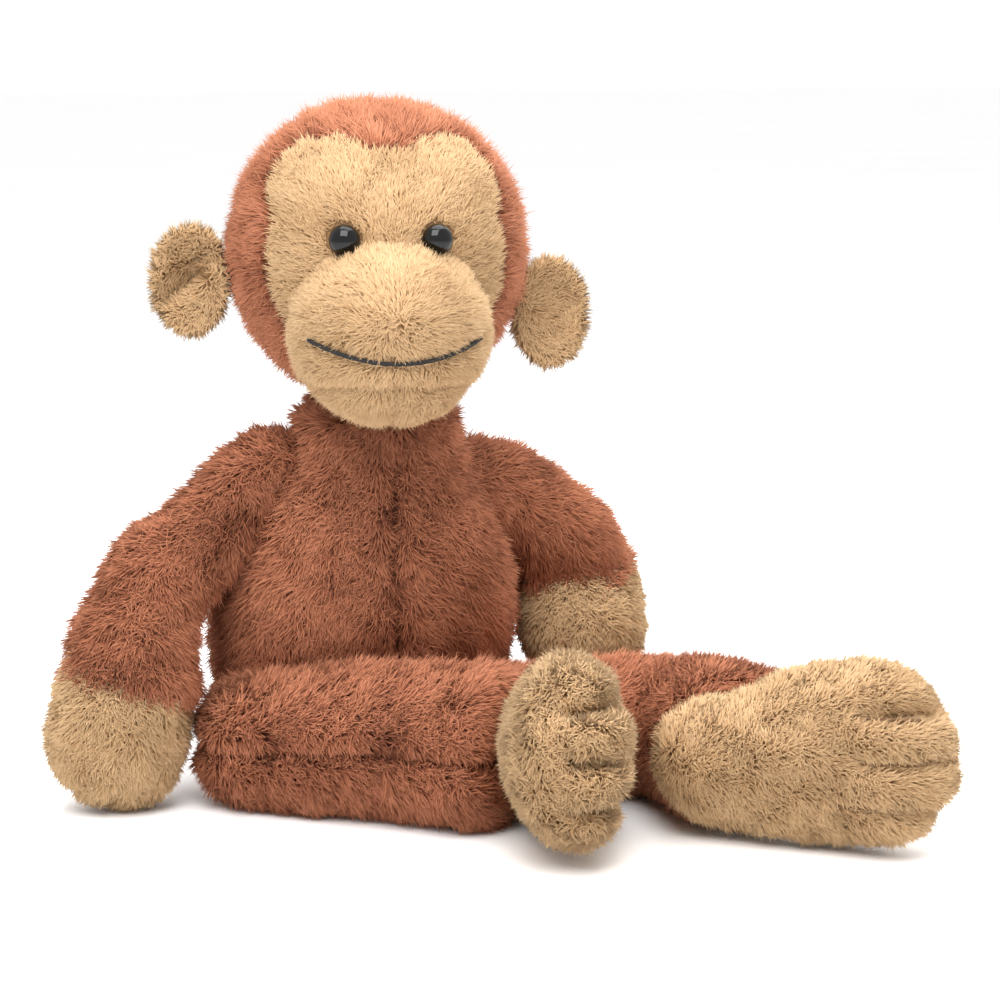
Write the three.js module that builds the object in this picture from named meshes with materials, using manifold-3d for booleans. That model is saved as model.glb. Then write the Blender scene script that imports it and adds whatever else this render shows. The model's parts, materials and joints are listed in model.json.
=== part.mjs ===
// A sitting plush ape: sewn pile panels over loose stuffing, with a turning head and jointed limbs.
//
// Millimetres, +Z up. The origin is the middle of the flat seat, the toy faces -Y, and its own right
// side is -X. Each moving body is a group that stands at its joint. Every cover is a thick shell of
// pile fabric in two or more panels, and the stuffing that it holds is a body of its own.
import * as THREE from 'three';
import { mergeVertices } from 'three/addons/utils/BufferGeometryUtils.js';
import Module from 'manifold-3d';

const wasm = await Module();
wasm.setup();

// Cloth and clearances
const CLOTH = 6; // pile fabric, backing and pressed pile together
const SEAM = 0.6; // gap between two panels along their seam
const NEST = 0.6; // gap between a cover and what it holds
const PLAY = 1.2; // room around a root that turns in its socket
const PAST_END = 0.05; // share of its height that the torso's hollow runs on past each end
const SOCKET_PLAY = 1.6; // further room for the coarser solids that cut a socket
const FLOOR_GAP = 0.4; // how far the limbs lie above the plane of the seat
const BEYOND = 20; // how far a cutting body runs past what it cuts

// Torso
const TORSO_HEIGHT = 168;
const BELLY_HALF_WIDTH = 75;
const BELLY_HALF_DEPTH = 60;
const SEAT_HALF_WIDTH = 52;
const SEAT_HALF_DEPTH = 42;
const NECK_HALF_WIDTH = 36;
const NECK_HALF_DEPTH = 32;
const NECK_LEAN = 13; // how far the neck stands forward of the seat
const NECK_SWAY = 6; // how far the neck stands to the toy's left of the seat
const POUCH_HALF_WIDTH = 36;
const POUCH_HALF_DEPTH = 27;
const POUCH_HEIGHT = 30;

// Head
const NECK_BALL = 28; // radius of the stuffed knot between torso and head
const HEAD_HALF_WIDTH = 70;
const HEAD_HALF_DEPTH = 67;
const HEAD_HALF_HEIGHT = 70;
const HEAD_RISE = 80; // from the knot's centre up to the head's centre
const HEAD_FORWARD = 5; // from the knot's centre forward to the head's centre
const HEAD_TURN = -12; // degrees that the face is turned from the torso's front
const FACE_HALF_WIDTH = 51;
const FACE_TOP = 58; // above the head's centre
const FACE_NOTCH = 51; // the dip between the two brows
const MUZZLE_HALF_WIDTH = 45;
const MUZZLE_HALF_DEPTH = 44;
const MUZZLE_HALF_HEIGHT = 43;
const MUZZLE_FORWARD = 52;
const MUZZLE_DROP = 33.5;
const MOUTH_DROP = 10; // the lip line's height below the muzzle's middle, at its lowest
const MOUTH_RISE = 9; // how far the corners of the mouth turn up
const MOUTH_HALF_WIDTH = 38;
const THREAD = 1.1; // radius of the embroidery
const EYE_RADIUS = 7;
const EYE_HEIGHT = 5.5; // how far the dome stands out
const EYE_APART = 41;
const EYE_RISE = 8.5;
const SHANK_RADIUS = 2.5;
const SHANK_LENGTH = 14;
const WASHER_RADIUS = 7;
const WASHER_THICKNESS = 2;
const WASHER_SINK = 3.6; // how far the washer lies under the curved cloth
const EAR_HALF_WIDTH = 17;
const EAR_HALF_HEIGHT = 26;
const EAR_LAYER = 4.5; // thickness of each of the ear's two panels
const EAR_CUP = 9; // how far the ear's rim curls forward
const EAR_PLAY = 3.5; // room between the ear's root and the head

// Arms and hands
const SHOULDER_SHARE = 0.86; // height of the shoulders as a share of the torso's
const SHOULDER_OUT = 13; // from the torso's side out to the shoulder's centre
const SHOULDER_RADIUS = 20;
const ELBOW_RADIUS = 26;
const CUFF_RADIUS = 31;
const HAND_HALF_WIDTH = 32;
const HAND_HALF_THICKNESS = 27;
const HAND_LENGTH = 52; // from the wrist's centre to the finger end

// Legs and feet
const HIP_RADIUS = 28; // thinner where it is sewn to the body
const ANKLE_RADIUS = 37;
const ANKLE_BALL = 26;
const FOOT_LENGTH = 134;
const FOOT_HEEL = 36; // from the ankle's axis back to the heel
const FOOT_HALF_WIDTH = 41;
const HEEL_HALF_WIDTH = 32;
const FOOT_HALF_THICKNESS = 27.5;
const FOOT_OFFSET = 24; // from the ankle's centre to the middle of the foot's thickness
const TOES = 4;

// Swings, in degrees, that the sockets leave room for
const SHOULDER_SWINGS = [-3, 22, 45]; // turns outward at which the torso is cut clear
const HIP_SWINGS = [9, 18, 27, 36];
const WRIST_SWING = 20;
const ANKLE_SWING = 10;
const WRIST_OUT = 11; // from the cuff's edge on to the wrist's centre
const WRIST_AXIS = new THREE.Vector3(0, 1, 0);

const PILE_BROWN = { color: 0xa3603f, roughness: 0.95, metalness: 0 };
const PILE_TAN = { color: 0xcaa374, roughness: 0.95, metalness: 0 };
const STUFFING = { color: 0xf1ede4, roughness: 1, metalness: 0 };
const POUCH_CLOTH = { color: 0xd8d2c4, roughness: 0.9, metalness: 0 };
const BLACK_GLOSS = { color: 0x0a0a0b, roughness: 0.12, metalness: 0 };
const CLEAR_PLASTIC = { color: 0xe6e6e2, roughness: 0.4, metalness: 0 };
const BLACK_THREAD = { color: 0x14110f, roughness: 0.7, metalness: 0 };
const TAN_THREAD = { color: 0x8f6a45, roughness: 0.7, metalness: 0 };

const X_AXIS = new THREE.Vector3(1, 0, 0);
const Y_AXIS = new THREE.Vector3(0, 1, 0);
const Z_AXIS = new THREE.Vector3(0, 0, 1);
const radians = THREE.MathUtils.degToRad;
const vec = (x, y, z) => new THREE.Vector3(x, y, z);

// ---- Solids ----

// A closed geometry as a solid, moved by a matrix if one is given.
function solid(geometry, matrix = new THREE.Matrix4()) {
  const bare = geometry.clone().applyMatrix4(matrix);
  bare.deleteAttribute('normal');
  bare.deleteAttribute('uv');
  const merged = mergeVertices(bare, 1e-4);
  return new wasm.Manifold(
    new wasm.Mesh({
      numProp: 3,
      vertProperties: new Float32Array(merged.attributes.position.array),
      triVerts: new Uint32Array(merged.index.array),
    }),
  );
}

function geometryOf(shape) {
  const { vertProperties, triVerts } = shape.getMesh();
  const geometry = new THREE.BufferGeometry();
  geometry.setAttribute('position', new THREE.BufferAttribute(new Float32Array(vertProperties), 3));
  geometry.setIndex(new THREE.BufferAttribute(new Uint32Array(triVerts), 1));
  geometry.computeVertexNormals();
  return geometry;
}

function part(name, shape, look) {
  const geometry = shape.isBufferGeometry ? shape : geometryOf(shape);
  const mesh = new THREE.Mesh(geometry, new THREE.MeshStandardMaterial(look));
  mesh.name = name;
  return mesh;
}

const moved = (shape, offset) => shape.translate([offset.x, offset.y, offset.z]);
const joined = (shapes) => shapes.reduce((whole, next) => whole.add(next));

// The shape where a group of its own would put it: turned, then moved.
function placed(shape, group) {
  group.updateMatrixWorld(true);
  return shape.transform(group.matrixWorld.elements);
}

// The two halves of a shape on either side of a plane through a point, half a seam from it each.
function halves(shape, normal, point = vec(0, 0, 0), gap = SEAM) {
  const at = normal.dot(point);
  const back = normal.clone().negate();
  const ahead = shape.trimByPlane(normal.toArray(), at + gap / 2);
  const behind = shape.trimByPlane(back.toArray(), -at + gap / 2);
  return [ahead, behind];
}

// A skin through rings of points, closed by a tip at each end, with its faces pointing out.
function skin(rings, firstTip, lastTip) {
  const sides = rings[0].length;
  const points = [firstTip, ...rings.flat(), lastTip];
  const last = points.length - 1;
  const faces = [];
  for (let k = 0; k < sides; k++) {
    const next = (k + 1) % sides;
    faces.push(0, 1 + next, 1 + k);
    for (let ring = 0; ring < rings.length - 1; ring++) {
      const a = 1 + ring * sides + k;
      const b = 1 + ring * sides + next;
      faces.push(a, b, b + sides, a, b + sides, a + sides);
    }
    faces.push(last, last - sides + k, last - sides + next);
  }
  let volume = 0;
  for (let k = 0; k < faces.length; k += 3) {
    const [a, b, c] = faces.slice(k, k + 3).map((index) => points[index]);
    volume += a.dot(new THREE.Vector3().crossVectors(b, c));
  }
  if (volume < 0) faces.reverse();
  const geometry = new THREE.BufferGeometry().setFromPoints(points);
  geometry.setIndex(faces);
  return geometry;
}

// One ring: an ellipse about a centre along two directions.
function ring(centre, across, along, halfAcross, halfAlong, sides) {
  const points = [];
  for (let k = 0; k < sides; k++) {
    const angle = (2 * Math.PI * k) / sides;
    const point = centre.clone();
    point.addScaledVector(across, halfAcross * Math.cos(angle));
    point.addScaledVector(along, halfAlong * Math.sin(angle));
    points.push(point);
  }
  return points;
}

function ellipsoid(halfX, halfY, halfZ, segments = 14) {
  const sphere = new THREE.SphereGeometry(1, segments, Math.round(segments * 0.6));
  sphere.rotateX(Math.PI / 2);
  sphere.scale(halfX, halfY, halfZ);
  return solid(sphere);
}

const ball = (radius, segments = 12) => ellipsoid(radius, radius, radius, segments);

// A stuffed tube along a path, round at its root, thinner by the inset, its far end moved by the run.
function tube(path, radiusAt, { inset = 0, run = 0, sides = 10, steps = 4 } = {}) {
  const rings = [];
  const root = path.getPoint(0);
  const outward = path.getTangent(0);
  const rootRadius = radiusAt(0) - inset;
  const frameAt = (tangent) => {
    const across = new THREE.Vector3().crossVectors(Z_AXIS, tangent);
    if (across.length() < 0.2) across.copy(X_AXIS);
    across.normalize();
    return [across, new THREE.Vector3().crossVectors(tangent, across)];
  };
  for (const tilt of [42]) {
    const centre = root.clone().addScaledVector(outward, -rootRadius * Math.cos(radians(tilt)));
    const radius = rootRadius * Math.sin(radians(tilt));
    rings.push(ring(centre, ...frameAt(outward), radius, radius, sides));
  }
  for (let step = 0; step <= steps; step++) {
    const share = step / steps;
    const tangent = path.getTangent(share);
    const centre = path.getPoint(share);
    if (step === steps) centre.addScaledVector(tangent, run);
    const radius = radiusAt(share) - inset;
    rings.push(ring(centre, ...frameAt(tangent), radius, radius, sides));
  }
  const end = path.getPoint(1).addScaledVector(path.getTangent(1), run);
  return solid(skin(rings, root.addScaledVector(outward, -rootRadius), end));
}

// The shape together with itself turned about an axis through a point, by each of the angles.
function swept(shape, pivot, axis, angles) {
  const turns = angles.map((angle) => {
    const turn = new THREE.Matrix4().makeTranslation(pivot);
    turn.multiply(new THREE.Matrix4().makeRotationAxis(axis, radians(angle)));
    turn.multiply(new THREE.Matrix4().makeTranslation(pivot.clone().negate()));
    return shape.transform(turn.elements);
  });
  return joined([shape, ...turns]);
}

// A thread of round section along a path.
function thread(path, radius, steps) {
  const section = new THREE.Shape().absarc(0, 0, radius, 0, 2 * Math.PI);
  const options = { extrudePath: path, steps, curveSegments: 3, bevelEnabled: false };
  return solid(new THREE.ExtrudeGeometry(section, options));
}

// ---- Torso ----

// The torso's section at a share of its height: its half sizes less an inset, and its centre.
function torsoSection(share, inset = 0) {
  const shares = [0, 0.2, 0.48, 0.68, 0.84, 1];
  const widths = [
    SEAT_HALF_WIDTH,
    BELLY_HALF_WIDTH - 5,
    BELLY_HALF_WIDTH,
    BELLY_HALF_WIDTH - 11,
    NECK_HALF_WIDTH + 10,
    NECK_HALF_WIDTH,
  ];
  const depths = [
    SEAT_HALF_DEPTH,
    BELLY_HALF_DEPTH - 6,
    BELLY_HALF_DEPTH,
    BELLY_HALF_DEPTH - 8,
    NECK_HALF_DEPTH + 8,
    NECK_HALF_DEPTH,
  ];
  const at = (values) => {
    const step = Math.min(shares.findLastIndex((known) => known <= share), shares.length - 2);
    const onward = (share - shares[step]) / (shares[step + 1] - shares[step]);
    return THREE.MathUtils.lerp(values[step], values[step + 1], onward);
  };
  return {
    halfWidth: at(widths) - inset,
    halfDepth: at(depths) - inset,
    centre: vec(NECK_SWAY * share, -NECK_LEAN * share ** 1.5, TORSO_HEIGHT * share),
  };
}

// The torso's solid, thinner by the inset, between two heights given as shares of its height.
function torsoSolid(inset, low, high, steps = 6) {
  const rings = [];
  for (let step = 0; step <= steps; step++) {
    const share = THREE.MathUtils.lerp(low, high, step / steps);
    const kept = THREE.MathUtils.clamp(share, 0, 1);
    const { halfWidth, halfDepth, centre } = torsoSection(kept, inset);
    centre.z = TORSO_HEIGHT * share;
    rings.push(ring(centre, X_AXIS, Y_AXIS, halfWidth, halfDepth, 16));
  }
  const tip = (points) => points[0].clone().add(points[points.length / 2]).multiplyScalar(0.5);
  return solid(skin(rings, tip(rings[0]), tip(rings[steps])));
}

const neckTop = torsoSection(1).centre;
const knotCentre = vec(neckTop.x, neckTop.y, neckTop.z + PLAY);

// ---- Limbs ----

// A point beside the torso, clear of the belly by a gap, for a limb of a given radius there.
const beside = (side, radius, gap) => side * (BELLY_HALF_WIDTH + gap + radius);

// The two arms as the toy holds them. Each hangs from a shoulder lowered by `drop` to a hand; the
// upper arm, elbow and cuff lie at three shares of that way, the last two clear of the belly by gaps,
// and the hand's own direction leans from the arm's.
const ARMS = [
  {
    name: 'right',
    side: -1,
    drop: 0,
    hand: { out: 17, forward: 34, height: HAND_LENGTH - 17 },
    shares: [0.22, 0.46, 0.76],
    gaps: [7, 11],
    lean: [0, 0, 0],
  },
  {
    name: 'left',
    side: 1,
    drop: 10,
    hand: { out: 6, forward: -3, height: HAND_LENGTH + 18 },
    shares: [0.2, 0.46, 0.66],
    gaps: [-2, 0],
    lean: [-0.6, -0.9, 0],
  },
];
const UPPER_ARM_OUT = 20; // from the shoulder's centre out to the upper arm's

// The two legs: where each leaves the torso, how far its knee bends out, and where it ends.
const LEGS = [
  { name: 'right', side: -1, hipOut: 58, hipForward: 49, bend: 0, ankle: [30, -126], toes: -20 },
  { name: 'left', side: 1, hipOut: 54, hipForward: 56, bend: 28, ankle: [133, -160], toes: 46 },
];

function armPath({ side, drop, hand, shares, gaps }) {
  const { halfWidth, centre } = torsoSection(SHOULDER_SHARE);
  const shoulder = vec(centre.x + side * (halfWidth + SHOULDER_OUT), centre.y + 3, centre.z - drop);
  const palm = vec(beside(side, HAND_HALF_WIDTH, hand.out), -hand.forward, hand.height);
  const [upper, elbow, cuff] = shares.map((share) => shoulder.clone().lerp(palm, share));
  upper.x = shoulder.x + side * UPPER_ARM_OUT;
  elbow.x = beside(side, ELBOW_RADIUS, gaps[0]);
  cuff.x = beside(side, CUFF_RADIUS, gaps[1]);
  return new THREE.CatmullRomCurve3([shoulder, upper, elbow, cuff]);
}

const armRadius = (share) => {
  const upper = THREE.MathUtils.lerp(SHOULDER_RADIUS, ELBOW_RADIUS, Math.min(1, share / 0.6));
  return THREE.MathUtils.lerp(upper, CUFF_RADIUS, Math.max(0, (share - 0.6) / 0.4));
};
const legRadius = (share) => THREE.MathUtils.lerp(HIP_RADIUS, ANKLE_RADIUS, share);

function legPath({ side, hipOut, hipForward, bend, ankle }) {
  const hip = vec(side * hipOut, -hipForward, HIP_RADIUS + FLOOR_GAP);
  const end = vec(ankle[0], ankle[1], ANKLE_RADIUS + FLOOR_GAP);
  const knee = hip.clone().lerp(end, 0.5);
  const ahead = end.clone().sub(hip).setZ(0).normalize();
  knee.add(vec(-ahead.y, ahead.x, 0).multiplyScalar(side * bend));
  return new THREE.CatmullRomCurve3([hip, knee, end]);
}

// A mitten hand about its wrist, pointing along +Z, grown by a margin.
function handSolid(grown, segments = 11) {
  const rings = [];
  const wrist = CUFF_RADIUS - CLOTH - PLAY + grown;
  for (const tilt of [42, 90]) {
    const low = vec(0, 0, -wrist * Math.cos(radians(tilt)));
    const radius = wrist * Math.sin(radians(tilt));
    rings.push(ring(low, X_AXIS, Y_AXIS, radius, radius, segments));
  }
  const widest = HAND_LENGTH * 0.46;
  for (const tilt of [-32, 12, 50]) {
    const reach = tilt < 0 ? widest * 0.5 : HAND_LENGTH - widest + grown;
    const height = widest + reach * Math.sin(radians(tilt));
    const width = (HAND_HALF_WIDTH + grown) * Math.cos(radians(tilt)) ** 0.8;
    const thickness = (HAND_HALF_THICKNESS + grown) * Math.cos(radians(tilt)) ** 0.8;
    const least = tilt < 0 ? wrist : 0;
    const halfWidth = Math.max(width, least);
    rings.push(ring(vec(0, 0, height), X_AXIS, Y_AXIS, halfWidth, Math.max(thickness, least), segments));
  }
  return solid(skin(rings, vec(0, 0, -wrist), vec(0, 0, HAND_LENGTH + grown)));
}

// A foot about its ankle: toes along +X, its width along Z, the sole on the side's far face.
function footSolid(side, grown, segments = 12) {
  const reach = FOOT_LENGTH - FOOT_HEEL;
  const stations = [
    [-0.72, 0.72],
    [-0.3, 0.95],
    [0.18, 1],
    [0.5, 1],
    [0.78, 0.94],
    [0.94, 0.7],
  ];
  const sole = -side * FOOT_OFFSET;
  const rise = (full) => full - HEEL_HALF_WIDTH;
  const rings = stations.map(([share, fullness]) => {
    const along = share * (share < 0 ? FOOT_HEEL + grown : reach + grown);
    const widening = THREE.MathUtils.smoothstep(share, -0.3, 0.6);
    const full = THREE.MathUtils.lerp(HEEL_HALF_WIDTH, FOOT_HALF_WIDTH, widening);
    const halfWidth = full * fullness + grown;
    const halfThickness = FOOT_HALF_THICKNESS * fullness + grown;
    return ring(vec(along, sole, rise(full)), Y_AXIS, Z_AXIS, halfThickness, halfWidth, segments);
  });
  const heel = vec(-FOOT_HEEL - grown, sole, 0);
  const tip = vec(reach + grown, sole, rise(FOOT_HALF_WIDTH));
  return solid(skin(rings, heel, tip)).add(ball(ANKLE_BALL + grown, segments));
}

function footGroup({ name, ankle, toes }) {
  const group = new THREE.Group();
  group.name = `${name}_foot`;
  group.position.set(ankle[0], ankle[1], HEEL_HALF_WIDTH + FLOOR_GAP + 1);
  group.rotation.z = radians(toes - 90);
  return group;
}

// The group that a hand stands in: at the wrist, pointing on along the arm.
function handGroup(arm) {
  const path = armPath(arm);
  const onward = path.getTangent(1);
  const pointing = onward.clone().add(vec(...arm.lean)).normalize();
  const group = new THREE.Group();
  group.name = `${arm.name}_hand`;
  group.position.copy(path.getPoint(1)).addScaledVector(onward, WRIST_OUT);
  group.quaternion.setFromUnitVectors(Z_AXIS, pointing);
  return group;
}

const ARM_BODIES = ARMS.map((arm) => ({ ...arm, path: armPath(arm), hand: handGroup(arm) }));
const LEG_BODIES = LEGS.map((leg) => ({ ...leg, path: legPath(leg), foot: footGroup(leg) }));

// Everything outside the torso that it makes room for: knot, shoulders and swinging legs.
function torsoRooms(extra) {
  const room = PLAY + extra;
  const rooms = [moved(ball(NECK_BALL + room), knotCentre)];
  for (const { path, side } of ARM_BODIES) {
    const arm = tube(path, armRadius, { inset: -room - SOCKET_PLAY, sides: 9, steps: 3 });
    const swings = SHOULDER_SWINGS.map((angle) => -side * angle);
    rooms.push(swept(arm, path.getPoint(0), Y_AXIS, swings));
  }
  for (const { path, side } of LEG_BODIES) {
    const leg = tube(path, legRadius, { inset: -room - SOCKET_PLAY, sides: 9, steps: 2 });
    const swings = HIP_SWINGS.map((angle) => side * angle);
    rooms.push(swept(leg, path.getPoint(0), Z_AXIS, swings));
  }
  return joined(rooms);
}

function buildTorso() {
  const whole = torsoSolid(0, 0, 1);
  const hollow = torsoSolid(CLOTH, -PAST_END, 1 + PAST_END);
  const shell = whole.subtract(hollow).subtract(torsoRooms(0));
  const [left, right] = halves(shell, X_AXIS);
  const names = { left: halves(left, Y_AXIS), right: halves(right, Y_AXIS) };
  const panels = Object.entries(names).flatMap(([side, [back, front]]) => [
    part(`torso_front_${side}`, front, PILE_BROWN),
    part(`torso_back_${side}`, back, PILE_BROWN),
  ]);

  const seat = new THREE.CylinderGeometry(1, 1, CLOTH, 28);
  seat.rotateX(Math.PI / 2);
  const inner = CLOTH + SEAM;
  seat.scale(SEAT_HALF_WIDTH - inner, SEAT_HALF_DEPTH - inner, 1);
  seat.translate(0, 0, CLOTH / 2);
  const floor = solid(seat).subtract(torsoRooms(0));

  const lift = vec(0, 0, CLOTH + NEST);
  const dome = (grown) => ellipsoid(POUCH_HALF_WIDTH + grown, POUCH_HALF_DEPTH + grown, POUCH_HEIGHT + grown);
  const pouch = moved(dome(0).trimByPlane([0, 0, 1], 0), lift);
  const filling = torsoSolid(CLOTH + NEST, -PAST_END, 1 + PAST_END)
    .trimByPlane([0, 0, 1], lift.z)
    .trimByPlane([0, 0, -1], -TORSO_HEIGHT)
    .subtract(moved(dome(NEST), lift))
    .subtract(torsoRooms(CLOTH));
  return [
    ...panels,
    part('seat_panel', floor, PILE_BROWN),
    part('pellet_pouch', pouch, POUCH_CLOTH),
    part('torso_stuffing', filling, STUFFING),
  ];
}

// The largest piece of a shape, without any crumbs that a cut left beside it.
const largest = (shape) => shape.decompose().sort((a, b) => b.volume() - a.volume())[0];

function buildLimbCover(name, shell, seam, point) {
  const [ahead, behind] = halves(shell, seam, point).map(largest);
  return [part(`${name}_panel_a`, ahead, PILE_BROWN), part(`${name}_panel_b`, behind, PILE_BROWN)];
}

// A sleeve of two panels with its stuffing, open where the hand or foot turns in it.
function buildLimb(name, path, radiusAt, seam, room) {
  const outer = tube(path, radiusAt);
  const hollow = tube(path, radiusAt, { inset: CLOTH, run: BEYOND });
  const shell = outer.subtract(hollow).subtract(room);
  const onward = path.getTangent(1).negate();
  const filling = tube(path, radiusAt, { inset: CLOTH + NEST, run: BEYOND })
    .trimByPlane(onward.toArray(), onward.dot(path.getPoint(1)))
    .subtract(room);
  return [
    ...buildLimbCover(name, shell, seam, path.getPoint(0.5)),
    part(`${name}_stuffing`, filling, STUFFING),
  ];
}

// Two shell halves and a filling for a hand or a foot.
function buildPaw(name, grownSolid, seam, point, faces) {
  const shell = grownSolid(0).subtract(grownSolid(-CLOTH));
  const [ahead, behind] = halves(shell, seam, point);
  return [
    part(`${name}_${faces[0]}`, ahead, PILE_TAN),
    part(`${name}_${faces[1]}`, behind, PILE_TAN),
    part(`${name}_stuffing`, grownSolid(-CLOTH - NEST), STUFFING),
  ];
}

function buildArm({ name, path, hand }) {
  const group = new THREE.Group();
  group.name = `${name}_arm`;
  const paw = placed(handSolid(PLAY + 1, 8), hand);
  const room = swept(paw, hand.position, WRIST_AXIS, [-WRIST_SWING, WRIST_SWING]);
  group.add(...buildLimb(`${name}_arm`, path, armRadius, WRIST_AXIS, room));
  hand.add(...buildPaw(`${name}_hand`, handSolid, Y_AXIS, vec(0, 0, 0), ['back', 'palm']));
  group.add(hand);
  return group;
}

// The stitches that pull the toes apart, lying on the sole.
function toeStitch(side, toe) {
  const reach = FOOT_LENGTH - FOOT_HEEL;
  const across = (toe / TOES - 0.5) * 2 * (FOOT_HALF_WIDTH - 4);
  const rise = FOOT_HALF_WIDTH - HEEL_HALF_WIDTH;
  const edge = Math.sqrt(1 - (across / FOOT_HALF_WIDTH) ** 2);
  const depth = side * (-FOOT_OFFSET - FOOT_HALF_THICKNESS * edge - THREAD - NEST);
  const ends = [vec(reach * 0.5, depth, rise + across), vec(reach * 0.76, depth, rise + across)];
  return new THREE.LineCurve3(...ends);
}

function buildLeg({ name, side, path, foot }) {
  const group = new THREE.Group();
  group.name = `${name}_leg`;
  const paw = placed(footSolid(side, PLAY + 1.5, 8), foot);
  const room = swept(paw, foot.position, Z_AXIS, [-ANKLE_SWING, ANKLE_SWING]);
  group.add(...buildLimb(`${name}_leg`, path, legRadius, Z_AXIS, room));
  const middle = vec(0, -side * FOOT_OFFSET, 0);
  const outward = vec(0, -side, 0);
  const grownFoot = (grown) => footSolid(side, grown);
  foot.add(...buildPaw(`${name}_foot`, grownFoot, outward, middle, ['sole', 'top']));
  for (let toe = 1; toe < TOES; toe++) {
    const stitch = thread(toeStitch(side, toe), THREAD, 2);
    foot.add(part(`${name}_toe_stitch_${toe}`, stitch, TAN_THREAD));
  }
  group.add(foot);
  return group;
}

// ---- Head ----

const muzzleCentre = vec(0, -MUZZLE_FORWARD, -MUZZLE_DROP);
const headSolid = (inset, segments = 16) =>
  ellipsoid(HEAD_HALF_WIDTH - inset, HEAD_HALF_DEPTH - inset, HEAD_HALF_HEIGHT - inset, segments);
const muzzleSolid = (inset, segments = 14) =>
  moved(
    ellipsoid(
      MUZZLE_HALF_WIDTH - inset,
      MUZZLE_HALF_DEPTH - inset,
      MUZZLE_HALF_HEIGHT - inset,
      segments,
    ),
    muzzleCentre,
  );

// The heart-shaped prism that bounds the face, its outline moved outward by a margin.
function facePrism(margin) {
  const wide = FACE_HALF_WIDTH + margin;
  const top = FACE_TOP + margin;
  const notch = FACE_NOTCH + margin;
  const low = -MUZZLE_DROP - margin;
  const outline = new THREE.Shape();
  outline.moveTo(0, notch);
  outline.bezierCurveTo(8, top + 2, 34, top, wide * 0.74, top * 0.72);
  outline.bezierCurveTo(wide * 1.02, top * 0.4, wide * 1.04, -8, wide * 0.86, low);
  outline.lineTo(-wide * 0.86, low);
  outline.bezierCurveTo(-wide * 1.04, -8, -wide * 1.02, top * 0.4, -wide * 0.74, top * 0.72);
  outline.bezierCurveTo(-34, top, -8, top + 2, 0, notch);
  const options = { depth: HEAD_HALF_DEPTH + BEYOND, curveSegments: 5, bevelEnabled: false };
  return solid(new THREE.ExtrudeGeometry(outline, options).rotateX(Math.PI / 2));
}

// A point of an ellipsoid's front, straight out from a place in the front view.
function onFront(x, z, halfX, halfY, halfZ) {
  return vec(x, -halfY * Math.sqrt(Math.max(0, 1 - (x / halfX) ** 2 - (z / halfZ) ** 2)), z);
}

// A safety eye along +Z: dome, shank and, as a second solid, its lock washer under the cloth.
function eyeSolids() {
  const dome = [[0, -SHANK_LENGTH], [SHANK_RADIUS, -SHANK_LENGTH], [SHANK_RADIUS, 0], [EYE_RADIUS, 0]];
  for (const tilt of [25, 50, 72]) {
    const angle = radians(tilt);
    dome.push([EYE_RADIUS * Math.cos(angle), EYE_HEIGHT * Math.sin(angle)]);
  }
  dome.push([0, EYE_HEIGHT]);
  const bore = SHANK_RADIUS + SEAM / 2;
  const low = -CLOTH - WASHER_SINK - WASHER_THICKNESS;
  const high = low + WASHER_THICKNESS;
  const washer = [[bore, low], [WASHER_RADIUS, low], [WASHER_RADIUS, high], [bore, high], [bore, low]];
  const turned = (profile, rounds) => {
    const points = profile.map(([x, y]) => new THREE.Vector2(x, y));
    return solid(new THREE.LatheGeometry(points, rounds).rotateX(Math.PI / 2));
  };
  return { eye: turned(dome, 14), washer: turned(washer, 14) };
}

function eyeGroup(side) {
  const x = (side * EYE_APART) / 2;
  const spot = onFront(x, EYE_RISE, HEAD_HALF_WIDTH, HEAD_HALF_DEPTH, HEAD_HALF_HEIGHT);
  const group = new THREE.Group();
  const outward = vec(spot.x / HEAD_HALF_WIDTH ** 2, spot.y / HEAD_HALF_DEPTH ** 2, 0).normalize();
  group.position.copy(spot).addScaledVector(outward, NEST);
  group.quaternion.setFromUnitVectors(Z_AXIS, outward);
  return group;
}

// The embroidered smile, a little clear of the muzzle's cloth.
function mouthPath() {
  const points = [];
  for (let step = -4; step <= 4; step++) {
    const x = (step / 4) * MOUTH_HALF_WIDTH;
    const z = -MOUTH_DROP + MOUTH_RISE * (step / 4) ** 2;
    const grow = THREAD + NEST + 0.4;
    const halves = [MUZZLE_HALF_WIDTH + grow, MUZZLE_HALF_DEPTH + grow, MUZZLE_HALF_HEIGHT + grow];
    points.push(onFront(x, z, ...halves).add(muzzleCentre));
  }
  return new THREE.CatmullRomCurve3(points);
}

// One layer of an ear: a dish that opens forward, its root along the Z axis at the head's side.
function earLayer(side, depth) {
  const rings = (lift, fullness) => {
    const points = [];
    for (let k = 0; k < 16; k++) {
      const angle = (2 * Math.PI * k) / 16;
      const out = EAR_HALF_WIDTH * (1 + fullness * Math.cos(angle));
      const curl = -EAR_CUP * fullness ** 2;
      points.push(vec(side * out, lift + curl, EAR_HALF_HEIGHT * fullness * Math.sin(angle)));
    }
    return points;
  };
  const back = depth + EAR_LAYER;
  const stack = [rings(depth, 0.5), rings(depth, 0.97), rings(back, 1), rings(back, 0.5)];
  const middle = side * EAR_HALF_WIDTH;
  return solid(skin(stack, vec(middle, depth + 1, 0), vec(middle, back + 0.6, 0)));
}

const EARS = [
  { name: 'right', side: -1, rise: -13 },
  { name: 'left', side: 1, rise: -30 },
];

function earGroup({ name, side, rise }) {
  const group = new THREE.Group();
  group.name = `${name}_ear`;
  const share = Math.sqrt(1 - (rise / HEAD_HALF_HEIGHT) ** 2);
  group.position.set(side * (HEAD_HALF_WIDTH * share + EAR_PLAY), 4, rise);
  return group;
}

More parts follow.
